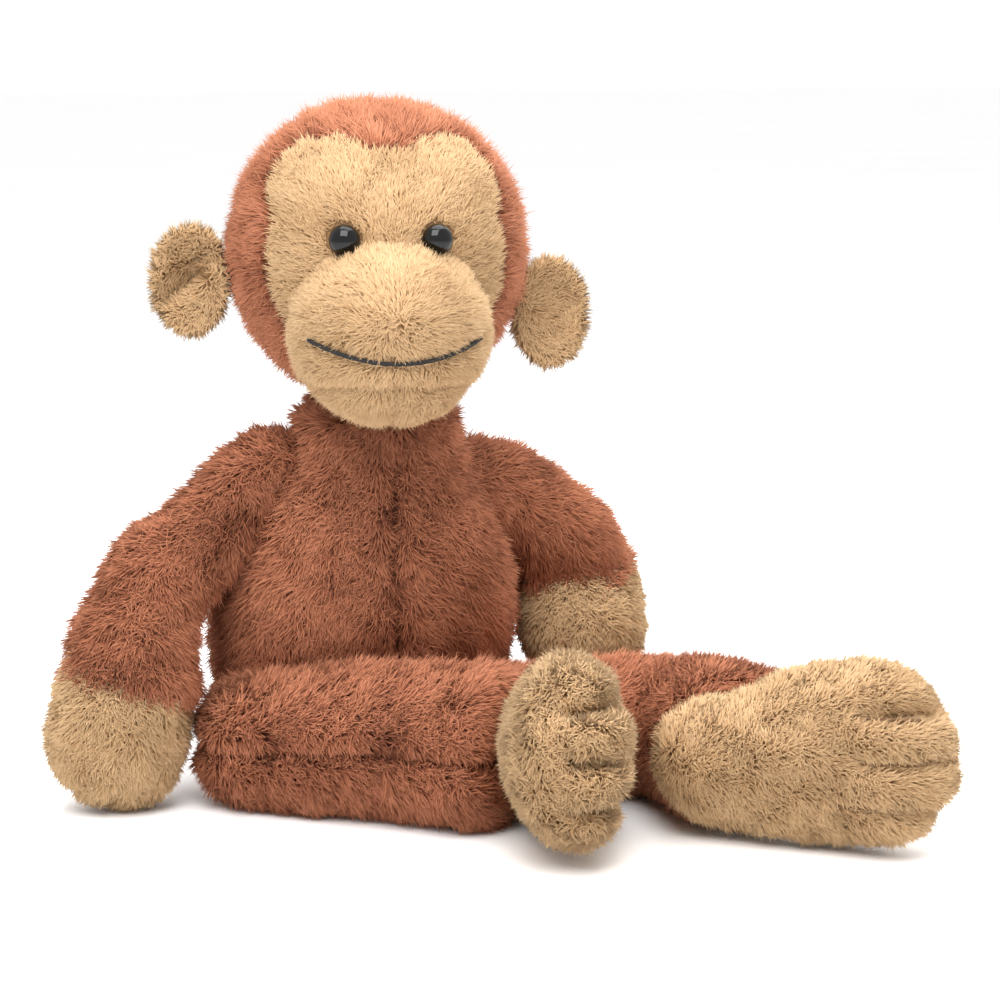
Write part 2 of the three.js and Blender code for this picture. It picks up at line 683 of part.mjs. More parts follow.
function buildHead() {
  const group = new THREE.Group();
  group.name = 'head';
  group.position.copy(knotCentre);
  group.rotation.z = radians(HEAD_TURN);
  const lifted = new THREE.Group();
  lifted.position.set(0, -HEAD_FORWARD, HEAD_RISE);
  group.add(lifted);

  const { eye, washer } = eyeSolids();
  const eyes = [-1, 1].map((side) => eyeGroup(side));
  const bores = eyes.map((place) => placed(ball(SHANK_RADIUS + 0.5, 10).scale([1, 1, 7]), place));
  const rooms = eyes.map((place) => {
    const well = ball(WASHER_RADIUS + 3, 10).scale([1, 1, 0.5]);
    return placed(moved(well, vec(0, 0, -CLOTH - WASHER_SINK - WASHER_THICKNESS / 2)), place);
  });
  const holes = joined(bores);
  const domes = joined(eyes.map((place) => placed(ball(EYE_RADIUS + 3, 10), place)));

  const knot = (extra) => moved(ball(NECK_BALL + SOCKET_PLAY + extra), vec(0, HEAD_FORWARD, -HEAD_RISE));
  const shell = headSolid(0).subtract(headSolid(CLOTH)).subtract(knot(0)).subtract(muzzleSolid(-SEAM));
  const face = shell.intersect(facePrism(-SEAM / 2));
  const [left, right] = halves(shell.subtract(facePrism(SEAM / 2)), X_AXIS);
  const muzzleShell = muzzleSolid(0)
    .subtract(muzzleSolid(CLOTH))
    .subtract(headSolid(CLOTH))
    .subtract(domes);
  const lip = vec(0, 0, -MUZZLE_DROP - MOUTH_DROP - 8);
  const [upper, chin] = halves(muzzleShell, Z_AXIS, lip);
  const [chinLeft, chinRight] = halves(chin.subtract(knot(0)), X_AXIS);

  const filling = headSolid(CLOTH + NEST)
    .add(muzzleSolid(CLOTH + NEST))
    .subtract(knot(NEST))
    .subtract(holes)
    .subtract(domes)
    .subtract(joined(rooms));
  lifted.add(
    part('head_left_panel', left, PILE_BROWN),
    part('head_right_panel', right, PILE_BROWN),
    part('face_panel', face.subtract(holes), PILE_TAN),
    part('muzzle_panel', upper, PILE_TAN),
    part('chin_left_panel', chinLeft, PILE_TAN),
    part('chin_right_panel', chinRight, PILE_TAN),
    part('head_stuffing', filling, STUFFING),
    part('mouth_thread', thread(mouthPath(), THREAD, 12), BLACK_THREAD),
  );
  ['right', 'left'].forEach((name, index) => {
    eyes[index].add(part(`${name}_eye`, eye, BLACK_GLOSS), part(`${name}_eye_washer`, washer, CLEAR_PLASTIC));
    lifted.add(eyes[index]);
  });
  for (const ear of EARS) {
    const place = earGroup(ear);
    place.add(part(`${ear.name}_ear_front`, earLayer(ear.side, 0), PILE_TAN));
    place.add(part(`${ear.name}_ear_back`, earLayer(ear.side, EAR_LAYER + SEAM + 0.6), PILE_TAN));
    lifted.add(place);
  }
  return group;
}

const toy = new THREE.Group();
toy.name = 'stuffed_ape';
toy.add(...buildTorso());
toy.add(part('neck_knot', moved(ball(NECK_BALL), knotCentre), STUFFING));
toy.add(buildHead());
for (const arm of ARM_BODIES) toy.add(buildArm(arm));
for (const leg of LEG_BODIES) toy.add(buildLeg(leg));

export default toy;
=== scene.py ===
"""A sitting plush ape: pile panels grown strand by strand over stuffed forms, on a fixed frame."""
import json
import logging
import math
from collections.abc import Callable
from dataclasses import dataclass
from enum import Enum

import bpy
import numpy as np
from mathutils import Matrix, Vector


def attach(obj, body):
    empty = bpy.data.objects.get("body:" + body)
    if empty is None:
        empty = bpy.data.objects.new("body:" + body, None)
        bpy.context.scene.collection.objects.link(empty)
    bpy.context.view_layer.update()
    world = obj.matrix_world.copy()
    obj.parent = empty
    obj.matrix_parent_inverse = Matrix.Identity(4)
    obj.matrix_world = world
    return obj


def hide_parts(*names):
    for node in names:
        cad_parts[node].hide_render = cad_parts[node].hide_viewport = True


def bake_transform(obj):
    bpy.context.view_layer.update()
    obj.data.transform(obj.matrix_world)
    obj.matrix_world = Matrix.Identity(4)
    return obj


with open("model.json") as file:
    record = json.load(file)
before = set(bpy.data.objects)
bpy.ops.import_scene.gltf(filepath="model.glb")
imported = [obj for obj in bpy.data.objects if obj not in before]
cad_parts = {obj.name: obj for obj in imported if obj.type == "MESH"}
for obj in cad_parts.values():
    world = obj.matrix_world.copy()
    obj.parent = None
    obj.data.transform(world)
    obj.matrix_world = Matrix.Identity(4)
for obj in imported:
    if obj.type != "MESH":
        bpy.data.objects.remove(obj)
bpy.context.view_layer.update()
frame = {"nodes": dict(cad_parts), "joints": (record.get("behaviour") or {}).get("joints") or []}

LOG = logging.getLogger("plush_ape")
MM = 0.001
UV_MAP = "OFBake"
PALETTE_STEP = 1 / 40  # width that one strand takes across the colour map of tone and painted root shade
FLOOR_CLEAR = 0.3  # millimetres that pile stays above the plane of the seat
WADDING_INSET = 4.5  # millimetres from a skin in to the wadding that it holds
WADDING_CLEAR = 3  # millimetres that wadding stays above the plane of the seat
SKIN_DEPTH = 6.5  # millimetres from the surface of long pile down to its backing
SWIRL_SCALE = 17  # usual width in millimetres of a slow turn in the comb direction
CLUMP_SCALES = (6, 12)  # usual widths of the tufts that pile gathers in
TONE_SCALE = 38  # usual width of a lighter or darker patch
FRONT_OF_HEAD = -8  # Y from the head's middle that the face's cloth starts at
Rule = Callable[[np.ndarray, np.ndarray], np.ndarray]  # feet and normals to one value or way each


class Side(Enum):
    """A side of the toy, by the sign of X."""

    RIGHT = -1
    LEFT = 1


# ---------------------------------------------------------------- vectors


def unit(vectors: np.ndarray) -> np.ndarray:
    """Vectors along the last axis, each divided by its length."""
    length = np.linalg.norm(vectors, axis=-1, keepdims=True)
    return vectors / np.maximum(length, 1e-9)


def across_normal(vectors: np.ndarray, normals: np.ndarray) -> np.ndarray:
    """The part of each vector that lies in the surface: v - (v.n)n, with n the unit normal."""
    return vectors - (vectors * normals).sum(-1, keepdims=True) * normals


def turned_z(points: np.ndarray, degrees: float) -> np.ndarray:
    """Points turned about the Z axis through the origin."""
    c, s = math.cos(math.radians(degrees)), math.sin(math.radians(degrees))
    return points @ np.array([[c, s, 0], [-s, c, 0], [0, 0, 1]])


def spline(points: list, count: int) -> np.ndarray:
    """A smooth path through the points.

    A Catmull-Rom curve: between two points the position is a cubic in t whose slope at each
    point is half the step between that point's two neighbours.

    Args:
        points: three or more places, in millimetres.
        count: how many places to return, evenly spaced in the parameter.

    Returns:
        The places along the path, one per row.
    """
    p = np.array(points, float)
    p = np.vstack([2 * p[0] - p[1], p, 2 * p[-1] - p[-2]])
    t = np.linspace(0, len(points) - 1, count)
    k = np.minimum(t.astype(int), len(points) - 2)
    t = (t - k)[:, None]
    a, b, c, d = p[k], p[k + 1], p[k + 2], p[k + 3]
    return 0.5 * (2 * b + (c - a) * t + (2 * a - 5 * b + 4 * c - d) * t**2 + (3 * b - a - 3 * c + d) * t**3)


def ripple(points: np.ndarray, scale: float, seed: int) -> np.ndarray:
    """A smooth uneven field over space, about -1 to 1.

    The sum of eight sine waves in random directions, with wavelengths near the scale.

    Args:
        points: places in millimetres.
        scale: the usual wavelength in millimetres.
        seed: picks the waves.

    Returns:
        One value per place.
    """
    rng = np.random.default_rng(seed)
    directions = unit(rng.normal(size=(8, 3))) * rng.uniform(0.7, 1.5, (8, 1)) * 2 * np.pi / scale
    phases = rng.uniform(0, 2 * np.pi, 8)
    return np.sin(points @ directions.T + phases).sum(-1) / 3.2


# ---------------------------------------------------------------- finishes


def blank_material(name: str) -> tuple:
    """A new node material, its node tree and its Principled shader."""
    material = bpy.data.materials.new(name)
    material.use_nodes = True
    tree = material.node_tree
    return material, tree, tree.nodes["Principled BSDF"]


def ramp(tree: bpy.types.NodeTree, stops: list) -> bpy.types.Node:
    """A colour ramp.

    Args:
        tree: the material's node tree.
        stops: places along the ramp from 0 to 1, each with its colour.

    Returns:
        The ramp's node.
    """
    node = tree.nodes.new("ShaderNodeValToRGB")
    band = node.color_ramp
    while len(band.elements) < len(stops):
        band.elements.new(0.5)
    for element, (place, colour) in zip(band.elements, stops):
        element.position = place
        element.color = (*colour, 1)
    return node


@dataclass(frozen=True)
class PileFinish:
    """Pile: strands run from a dark root, painted shade of the pile's depth, to a light tip, and differ in
    tone.
    """

    name: str
    root: tuple
    middle: tuple
    tip: tuple
    deep: tuple
    pale: tuple
    roughness: float = 0.78
    sheen: float = 0.2

    def material(self) -> bpy.types.Material:
        """The shader: a root-to-tip ramp with painted shade at the root, multiplied by a per-strand tone."""
        material, tree, shader = blank_material(self.name)
        uv = tree.nodes.new("ShaderNodeUVMap")
        uv.uv_map = UV_MAP
        split = tree.nodes.new("ShaderNodeSeparateXYZ")
        tree.links.new(uv.outputs["UV"], split.inputs["Vector"])
        # painted shade: the ramp darkens toward each strand's root, standing for the shade deep in the pile
        along = ramp(tree, [(0.0, self.root), (0.45, self.middle), (1.0, self.tip)])
        tone = ramp(tree, [(0.0, self.deep), (0.5, (1, 1, 1)), (1.0, self.pale)])
        tree.links.new(split.outputs["Y"], along.inputs["Fac"])
        tree.links.new(split.outputs["X"], tone.inputs["Fac"])
        mix = tree.nodes.new("ShaderNodeMix")
        mix.data_type = "RGBA"
        mix.blend_type = "MULTIPLY"
        mix.inputs["Factor"].default_value = 1
        tree.links.new(along.outputs["Color"], mix.inputs["A"])
        tree.links.new(tone.outputs["Color"], mix.inputs["B"])
        tree.links.new(mix.outputs["Result"], shader.inputs["Base Color"])
        shader.inputs["Roughness"].default_value = self.roughness
        shader.inputs["Sheen Weight"].default_value = self.sheen
        shader.inputs["Sheen Roughness"].default_value = 0.45
        shader.inputs["Sheen Tint"].default_value = (*self.tip, 1)
        shader.inputs["Specular IOR Level"].default_value = 0.25
        return material


@dataclass(frozen=True)
class GlossFinish:
    """Polished moulded plastic with a faint unevenness in its gloss."""

    name: str
    colour: tuple
    roughness: float

    def material(self) -> bpy.types.Material:
        """The shader: a plain colour whose roughness wanders a little over the piece."""
        material, tree, shader = blank_material(self.name)
        place = tree.nodes.new("ShaderNodeTexCoord")
        noise = tree.nodes.new("ShaderNodeTexNoise")
        noise.inputs["Scale"].default_value = 260
        spread = tree.nodes.new("ShaderNodeMapRange")
        spread.inputs["To Min"].default_value = self.roughness * 0.8
        spread.inputs["To Max"].default_value = self.roughness * 1.3
        tree.links.new(place.outputs["Object"], noise.inputs["Vector"])
        tree.links.new(noise.outputs["Fac"], spread.inputs["Value"])
        tree.links.new(spread.outputs["Result"], shader.inputs["Roughness"])
        shader.inputs["Base Color"].default_value = (*self.colour, 1)
        shader.inputs["Coat Weight"].default_value = 0.2
        shader.inputs["Specular IOR Level"].default_value = 0.25
        shader.inputs["Coat Roughness"].default_value = 0.04
        return material


@dataclass(frozen=True)
class FibreFinish:
    """Thread, wadding or plain cloth: a fine two-tone noise with a matching bump."""

    name: str
    dark: tuple
    light: tuple
    scale: float
    roughness: float = 0.8

    def material(self) -> bpy.types.Material:
        """The shader: noise on object coordinates drives both the colour and a shallow bump."""
        material, tree, shader = blank_material(self.name)
        place = tree.nodes.new("ShaderNodeTexCoord")
        noise = tree.nodes.new("ShaderNodeTexNoise")
        noise.inputs["Scale"].default_value = self.scale
        noise.inputs["Detail"].default_value = 4
        colours = ramp(tree, [(0.3, self.dark), (0.7, self.light)])
        bump = tree.nodes.new("ShaderNodeBump")
        bump.inputs["Strength"].default_value = 0.35
        bump.inputs["Distance"].default_value = 0.0006
        tree.links.new(place.outputs["Object"], noise.inputs["Vector"])
        tree.links.new(noise.outputs["Fac"], colours.inputs["Fac"])
        tree.links.new(noise.outputs["Fac"], bump.inputs["Height"])
        tree.links.new(colours.outputs["Color"], shader.inputs["Base Color"])
        tree.links.new(bump.outputs["Normal"], shader.inputs["Normal"])
        shader.inputs["Roughness"].default_value = self.roughness
        return material


RUST = PileFinish(
    "rust_pile",
    # painted shade: the near-black root stands for the shade deep in the pile
    root=(0.060, 0.018, 0.009),
    middle=(0.30, 0.096, 0.045),
    tip=(0.60, 0.235, 0.125),
    deep=(0.38, 0.32, 0.29),
    pale=(1.30, 1.40, 1.46),
)
CAMEL = PileFinish(
    "camel_pile",
    # painted shade: the dark root stands for the shade deep in the pile
    root=(0.25, 0.138, 0.060),
    middle=(0.53, 0.325, 0.160),
    tip=(0.78, 0.530, 0.295),
    deep=(0.76, 0.72, 0.68),
    pale=(1.16, 1.19, 1.24),
)
EYE_GLOSS = GlossFinish("eye_gloss", (0.002, 0.002, 0.002), 0.06)
WASHER_PLASTIC = GlossFinish("washer_plastic", (0.75, 0.75, 0.72), 0.35)
MOUTH_THREAD = FibreFinish("mouth_thread", (0.003, 0.0025, 0.0025), (0.012, 0.010, 0.009), 900)
SEAM_THREAD = FibreFinish("seam_thread", (0.10, 0.05, 0.02), (0.22, 0.12, 0.06), 900)
WADDING = FibreFinish("wadding", (0.62, 0.60, 0.55), (0.85, 0.84, 0.80), 180, 0.95)
POUCH_WEAVE = FibreFinish("pouch_weave", (0.55, 0.52, 0.45), (0.72, 0.69, 0.62), 700, 0.9)


Finish = PileFinish | GlossFinish | FibreFinish


class Wardrobe:
    """The materials, made once each and looked up by finish."""

    def __init__(self) -> None:
        """Starts with no materials made."""
        self.made: dict = {}

    def material(self, finish: Finish) -> bpy.types.Material:
        """The finish's material, made the first time it is asked for."""
        if finish.name not in self.made:
            self.made[finish.name] = finish.material()
        return self.made[finish.name]


WARDROBE = Wardrobe()


# ---------------------------------------------------------------- surfaces and pile


@dataclass
class Surface:
    """A skin as a grid of places: rows run from one pole to the other, columns run round.

    Attributes:
        grid: rows by columns by 3, in millimetres; the columns close on themselves.
    """

    grid: np.ndarray

    def normals(self) -> np.ndarray:
        """Outward unit normals: the cross product of the steps along rows and columns."""
        down = np.gradient(self.grid, axis=0)
        around = (np.roll(self.grid, -1, 1) - np.roll(self.grid, 1, 1)) / 2
        normal = np.cross(around, down)
        weak = np.linalg.norm(normal, axis=-1) < 1e-9
        middle = self.grid.reshape(-1, 3).mean(0)
        normal[weak] = (self.grid - middle)[weak]
        outward = (normal * (self.grid - middle)).sum(-1).mean()
        return unit(normal) * (1 if outward > 0 else -1)

    def pushed(self, amount: np.ndarray) -> "Surface":
        """The same surface moved along its normals by an amount for each place."""
        return Surface(self.grid + self.normals() * amount[..., None])

    def scattered(self, per_cm2: float, seed: int) -> tuple:
        """Places strewn evenly over the surface.

        Each patch of the grid gets places in proportion to its area, and a place within a patch is
        the two-way blend of its four corners.

        Args:
            per_cm2: places on each square centimetre.
            seed: makes the same places each time.

        Returns:
            The places and their outward normals.
        """
        rng = np.random.default_rng(seed)
        nearby = np.roll(self.grid, -1, 1)
        corners = np.stack([self.grid[:-1], nearby[:-1], nearby[1:], self.grid[1:]])
        normals = self.normals()
        turned = np.roll(normals, -1, 1)
        leans = np.stack([normals[:-1], turned[:-1], turned[1:], normals[1:]])
        area = np.linalg.norm(np.cross(corners[2] - corners[0], corners[3] - corners[1]), axis=-1) / 2
        corners, leans = corners.reshape(4, -1, 3), leans.reshape(4, -1, 3)
        count = int(area.sum() / 100 * per_cm2)
        chosen = rng.choice(area.size, count, p=area.ravel() / area.sum())
        u, v = rng.random((2, count, 1))
        shares = ((1 - u) * (1 - v), u * (1 - v), u * v, (1 - u) * v)
        place = sum(share * corners[k, chosen] for k, share in enumerate(shares))
        normal = sum(share * leans[k, chosen] for k, share in enumerate(shares))
        return place, unit(normal)


@dataclass
class Pile:
    """The pile of one cloth.

    Attributes:
        length: strand length in millimetres.
        width: strand thickness at its foot, in millimetres.
        lean: degrees that strands lie over from upright.
        per_cm2: strands on each square centimetre.
        stray: how much strands wander from the comb direction.
    """

    length: float
    width: float
    lean: float
    per_cm2: float
    stray: float = 0.45


LONG_PILE = Pile(length=9.6, width=1.25, lean=57, per_cm2=165)
HEAD_PILE = Pile(length=8.6, width=1.15, lean=53, per_cm2=180)
SHORT_PILE = Pile(length=5.8, width=1.05, lean=48, per_cm2=225, stray=0.5)
PAW_PILE = Pile(length=6.4, width=1.15, lean=48, per_cm2=200, stray=0.5)


@dataclass
class Strands:
    """Strands ready to mesh: feet, directions and sizes, all one row per strand."""

    feet: np.ndarray
    normals: np.ndarray
    combed: np.ndarray
    lengths: np.ndarray
    lean: np.ndarray
    width: float
    tone: np.ndarray

    def mesh(self) -> tuple:
        """Three-sided spikes: three corners round the foot and one at the tip.

        The spike leans by the lean angle. Shading follows the cloth more than the spike: each
        corner's normal is the cloth's normal blended with the strand's own direction.

        Returns:
            Corner places, triangles, each triangle corner's place in the colour map, and normals.
        """
        count = len(self.feet)
        along = unit(across_normal(self.combed, self.normals))
        side = np.cross(self.normals, along)
        heading = self.normals * np.cos(self.lean)[:, None] + along * np.sin(self.lean)[:, None]
        cross = np.cross(heading, side)
        angles = np.radians([90, 210, 330])
        ring = np.stack([side * math.cos(a) + cross * math.sin(a) for a in angles], 1)
        tip = self.feet + heading * self.lengths[:, None]
        points = np.concatenate([self.feet[:, None] + ring * self.width / 2, tip[:, None]], 1)
        shade = np.concatenate(
            [self.normals[:, None] * 0.8 + ring * 0.3, (self.normals * 0.8 + heading * 0.4)[:, None]], 1
        )
        pattern = np.array([[0, 1, 3], [1, 2, 3], [2, 0, 3]])
        # painted shade: each spike's foot sits at the dark root end of the colour map, its tip at the light
        # end
        tone_and_shade_spot = np.array([[[0, 0.02], [1, 0.02], [0.5, 1]]] * 3)
        faces = (np.arange(count)[:, None, None] * 4 + pattern).reshape(-1, 3)
        u = np.clip(self.tone, 0, 1 - PALETTE_STEP)[:, None, None] + tone_and_shade_spot[..., 0] * PALETTE_STEP
        v = np.broadcast_to(tone_and_shade_spot[..., 1], u.shape)
        tone_and_shade_spots = np.stack([u, v], -1).reshape(-1, 3, 2)
        return points.reshape(-1, 3), faces, tone_and_shade_spots, unit(shade.reshape(-1, 3))


def skin_mesh(surface: Surface, tone: float = 0.35) -> tuple:
    """The backing cloth as triangles, coloured from the dark root end of the colour map as painted shade.

    Each patch of the grid is cut along a diagonal, and the triangles are turned over if they face
    the middle of the form.

    Args:
        surface: the skin.
        tone: the cloth's tone from 0 to 1.

    Returns:
        Corner places, triangles, each triangle corner's place in the colour map, and normals.
    """
    rows, columns = surface.grid.shape[:2]
    index = np.arange(rows * columns).reshape(rows, columns)
    ahead = np.roll(index, -1, 1)
    a, b, c, d = index[:-1], ahead[:-1], ahead[1:], index[1:]
    faces = np.concatenate([np.stack([a, b, c], -1), np.stack([a, c, d], -1)]).reshape(-1, 3)
    points = surface.grid.reshape(-1, 3)
    corners = points[faces]
    normal = np.cross(corners[:, 1] - corners[:, 0], corners[:, 2] - corners[:, 0])
    outward = (normal * (corners.mean(1) - points.mean(0))).sum(-1).sum()
    if outward < 0:
        faces = faces[:, ::-1]
    # painted shade: the backing under the pile takes the dark root colour, at a slightly darker tone
    spot = np.array([[0, 0], [1, 0], [0.5, 0.06]]) * [PALETTE_STEP, 1] + [tone, 0.02]
    return points, faces, np.broadcast_to(spot, (len(faces), 3, 2)), surface.normals().reshape(-1, 3)


def make_object(name: str, layers: list, finish: Finish) -> bpy.types.Object:
    """One smooth-shaded mesh from layers of (corners, triangles, colour-map places, normals).

    Args:
        name: the object's name.
        layers: tuples of corner places in millimetres, triangles, UVs and corner normals.
        finish: the finish whose material it wears.

    Returns:
        The object, at the origin.
    """
    shift = np.cumsum([0] + [len(layer[0]) for layer in layers[:-1]])
    points = np.concatenate([layer[0] for layer in layers]) * MM
    faces = np.concatenate([layer[1] + start for layer, start in zip(layers, shift)])
    uvs = np.concatenate([layer[2] for layer in layers])
    normals = np.concatenate([layer[3] for layer in layers])
    mesh = bpy.data.meshes.new(name)
    mesh.vertices.add(len(points))
    mesh.vertices.foreach_set("co", points.astype(np.float32).ravel())
    mesh.loops.add(faces.size)
    mesh.loops.foreach_set("vertex_index", faces.astype(np.int32).ravel())
    mesh.polygons.add(len(faces))
    mesh.polygons.foreach_set("loop_start", np.arange(0, faces.size, 3, dtype=np.int32))
    mesh.update(calc_edges=True)
    layer = mesh.uv_layers.new(name=UV_MAP)
    layer.uv.foreach_set("vector", uvs.astype(np.float32).ravel())
    mesh.polygons.foreach_set("use_smooth", np.ones(len(faces), bool))
    mesh.materials.append(WARDROBE.material(finish))
    mesh.normals_split_custom_set_from_vertices(normals)
    piece = bpy.data.objects.new(name, mesh)
    bpy.context.scene.collection.objects.link(piece)
    LOG.info("%s: %d triangles", name, len(faces))
    return piece


@dataclass
class Coat:
    """How one surface is furred.

    Attributes:
        pile: the cloth's pile.
        comb: gives each foot the way its strand is combed, from feet and normals.
        seed: makes the same coat each time.
        keep: gives each foot the share of its full length, 0 for none; short pile is darkened as painted
            shade.
        tone: gives each foot a tone from 0 to 1.
    """

    pile: Pile
    comb: Rule
    seed: int
    keep: Rule | None = None
    tone: float = 0.5

    def grown(self, surface: Surface) -> Strands:
        """The strands on a surface.

        Each strand's direction is the comb direction plus a random part and a slow swirl, its
        length varies by a sixth, and its tone follows a slow field plus a random part, darker where
        the pile is cut short: painted shade along seams and creases and under the seat.

        Args:
            surface: the backing cloth.

        Returns:
            The strands.
        """
        feet, normals = surface.scattered(self.pile.per_cm2, self.seed)
        rng = np.random.default_rng(self.seed + 1)
        share = np.ones(len(feet)) if self.keep is None else self.keep(feet, normals)
        feet, normals, share = feet[share > 0.05], normals[share > 0.05], share[share > 0.05]
        count = len(feet)
        combed = unit(self.comb(feet, normals))
        swirl = np.stack([ripple(feet, SWIRL_SCALE, self.seed + k) for k in (2, 3, 4)], -1)
        combed = combed + rng.normal(size=(count, 3)) * self.pile.stray + swirl * 0.5
        small, large = CLUMP_SCALES
        clump = ripple(feet, small, self.seed + 5) * 0.7 + ripple(feet, large, self.seed + 7) * 0.5
        lengths = self.pile.length * share * (1 + rng.normal(size=count) * 0.13 + clump * 0.13)
        lean = np.radians(self.pile.lean * (1 + rng.normal(size=count) * 0.18 - clump * 0.20))
        # painted shade: strands darken where the pile is cut short, in seams, creases, round the eyes and
        # under the seat
        tone = self.tone + 0.16 * ripple(feet, TONE_SCALE, self.seed + 6) + 0.13 * clump - 0.35 * (1 - share)
        tone = np.clip(tone + rng.normal(size=count) * 0.13, 0, 1)
        return Strands(feet, normals, combed, lengths, np.clip(lean, 0.05, 1.35), self.pile.width, tone)


def grounded(layer: tuple, floor: float = FLOOR_CLEAR) -> tuple:
    """A layer with nothing below the plane that the toy sits on.

    Args:
        layer: corner places, triangles, colour-map places and normals.
        floor: the lowest height left, in millimetres.

    Returns:
        The layer, its low corners raised to the floor.
    """
    points, *rest = layer
    points = points.copy()
    points[:, 2] = np.maximum(points[:, 2], floor)
    return points, *rest


def furred(name: str, surface: Surface, coat: Coat, finish: PileFinish) -> bpy.types.Object:
    """A backing cloth and its pile as one object, kept above the floor.

    Args:
        name: the object's name.
        surface: the backing cloth.
        coat: how it is furred.
        finish: the pile's colours, with painted shade at the roots.

    Returns:
        The object.
    """
    layers = [grounded(skin_mesh(surface)), grounded(coat.grown(surface).mesh())]
    return make_object(name, layers, finish)


# ---------------------------------------------------------------- forms


def ellipsoid(centre: tuple, halves: tuple, rows: int = 44, columns: int = 72) -> Surface:
    """An ellipsoid: x = a sin(v) cos(u), y = b sin(v) sin(u), z = c cos(v) about its centre.

    Args:
        centre: its middle, in millimetres.
        halves: its half sizes along X, Y and Z.
        rows: steps from the top pole to the bottom one.
        columns: steps round.

    Returns:
        The surface.
    """
    v = np.linspace(0.001, np.pi - 0.001, rows)[:, None]
    u = np.linspace(0, 2 * np.pi, columns, endpoint=False)[None, :]
    x = np.sin(v) * np.cos(u)
    y = np.sin(v) * np.sin(u)
    z = np.cos(v) + 0 * u
    return Surface(np.stack([x, y, z], -1) * np.array(halves) + np.array(centre))


def stuffed_tube(path: np.ndarray, radii: np.ndarray, end: float = 1.0, columns: int = 56) -> Surface:
    """A round tube along a path with domed ends.

    Each ring is a circle of the given radius across the path. Before the first place and after the
    last, the rings shrink as the sine of an angle while they move on by its cosine, which makes domes.

    Args:
        path: places along the middle, one per row.
        radii: the radius at each place.
        end: the far dome's height as a share of its radius.
        columns: steps round.

    Returns:
        The surface.
    """
    tangent = unit(np.gradient(path, axis=0))
    tilt = np.linspace(0.01, np.pi / 2, 9, endpoint=False)
    near = path[0] - tangent[0] * (radii[0] * np.cos(tilt))[:, None]
    far = path[-1] + tangent[-1] * (radii[-1] * end * np.cos(tilt[::-1]))[:, None]
    centres = np.vstack([near, path, far])
    sizes = np.concatenate([radii[0] * np.sin(tilt), radii, radii[-1] * np.sin(tilt[::-1])])
    ways = np.vstack([np.repeat(tangent[:1], 9, 0), tangent, np.repeat(tangent[-1:], 9, 0)])
    across = unit(np.cross(ways, [0, 0, 1.0]) + 1e-6)
    upward = np.cross(across, ways)
    u = np.linspace(0, 2 * np.pi, columns, endpoint=False)
    rings = across[:, None] * np.cos(u)[:, None] + upward[:, None] * np.sin(u)[:, None]
    return Surface(centres[:, None] + rings * sizes[:, None, None])


def lumps(surface: Surface, amount: float, scale: float, seed: int) -> Surface:
    """The surface with the soft unevenness of packed stuffing, a ripple along its normals.

    Args:
        surface: the even surface.
        amount: the height of the lumps, in millimetres.
        scale: their usual width, in millimetres.
        seed: picks the lumps.

    Returns:
        The uneven surface.
    """
    return surface.pushed(amount * ripple(surface.grid, scale, seed))


def joint(name: str) -> np.ndarray:
    """A joint's place at rest, in millimetres."""
    found = next(item for item in frame["joints"] if item["name"] == name)
    return np.array(found["pos_m"]) / MM


def stuff(name: str, skin: Surface, body: str, nodes: tuple) -> None:
    """The wadding inside a skin: the skin's own form shrunk a little, on every third row and column.

    Args:
        name: the object's name.
        skin: the cloth that holds it.
        body: the moving body that it rides on.
        nodes: the CAD stuffing that it stands for.
    """
    core = Surface(skin.grid[::3, ::3])
    core = core.pushed(np.full(core.grid.shape[:2], -WADDING_INSET))
    layer = grounded(skin_mesh(core), WADDING_CLEAR)
    declare(make_object(name, [layer], WADDING), body, nodes)


def declare(piece: bpy.types.Object, body: str, nodes: tuple = ()) -> None:
    """Tells the frame what a piece is.

    Args:
        piece: the object.
        body: the moving body that it rides on.
        nodes: the CAD nodes that it stands for.
    """
    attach(piece, body)
    if nodes:
        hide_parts(*nodes)


# ---------------------------------------------------------------- torso


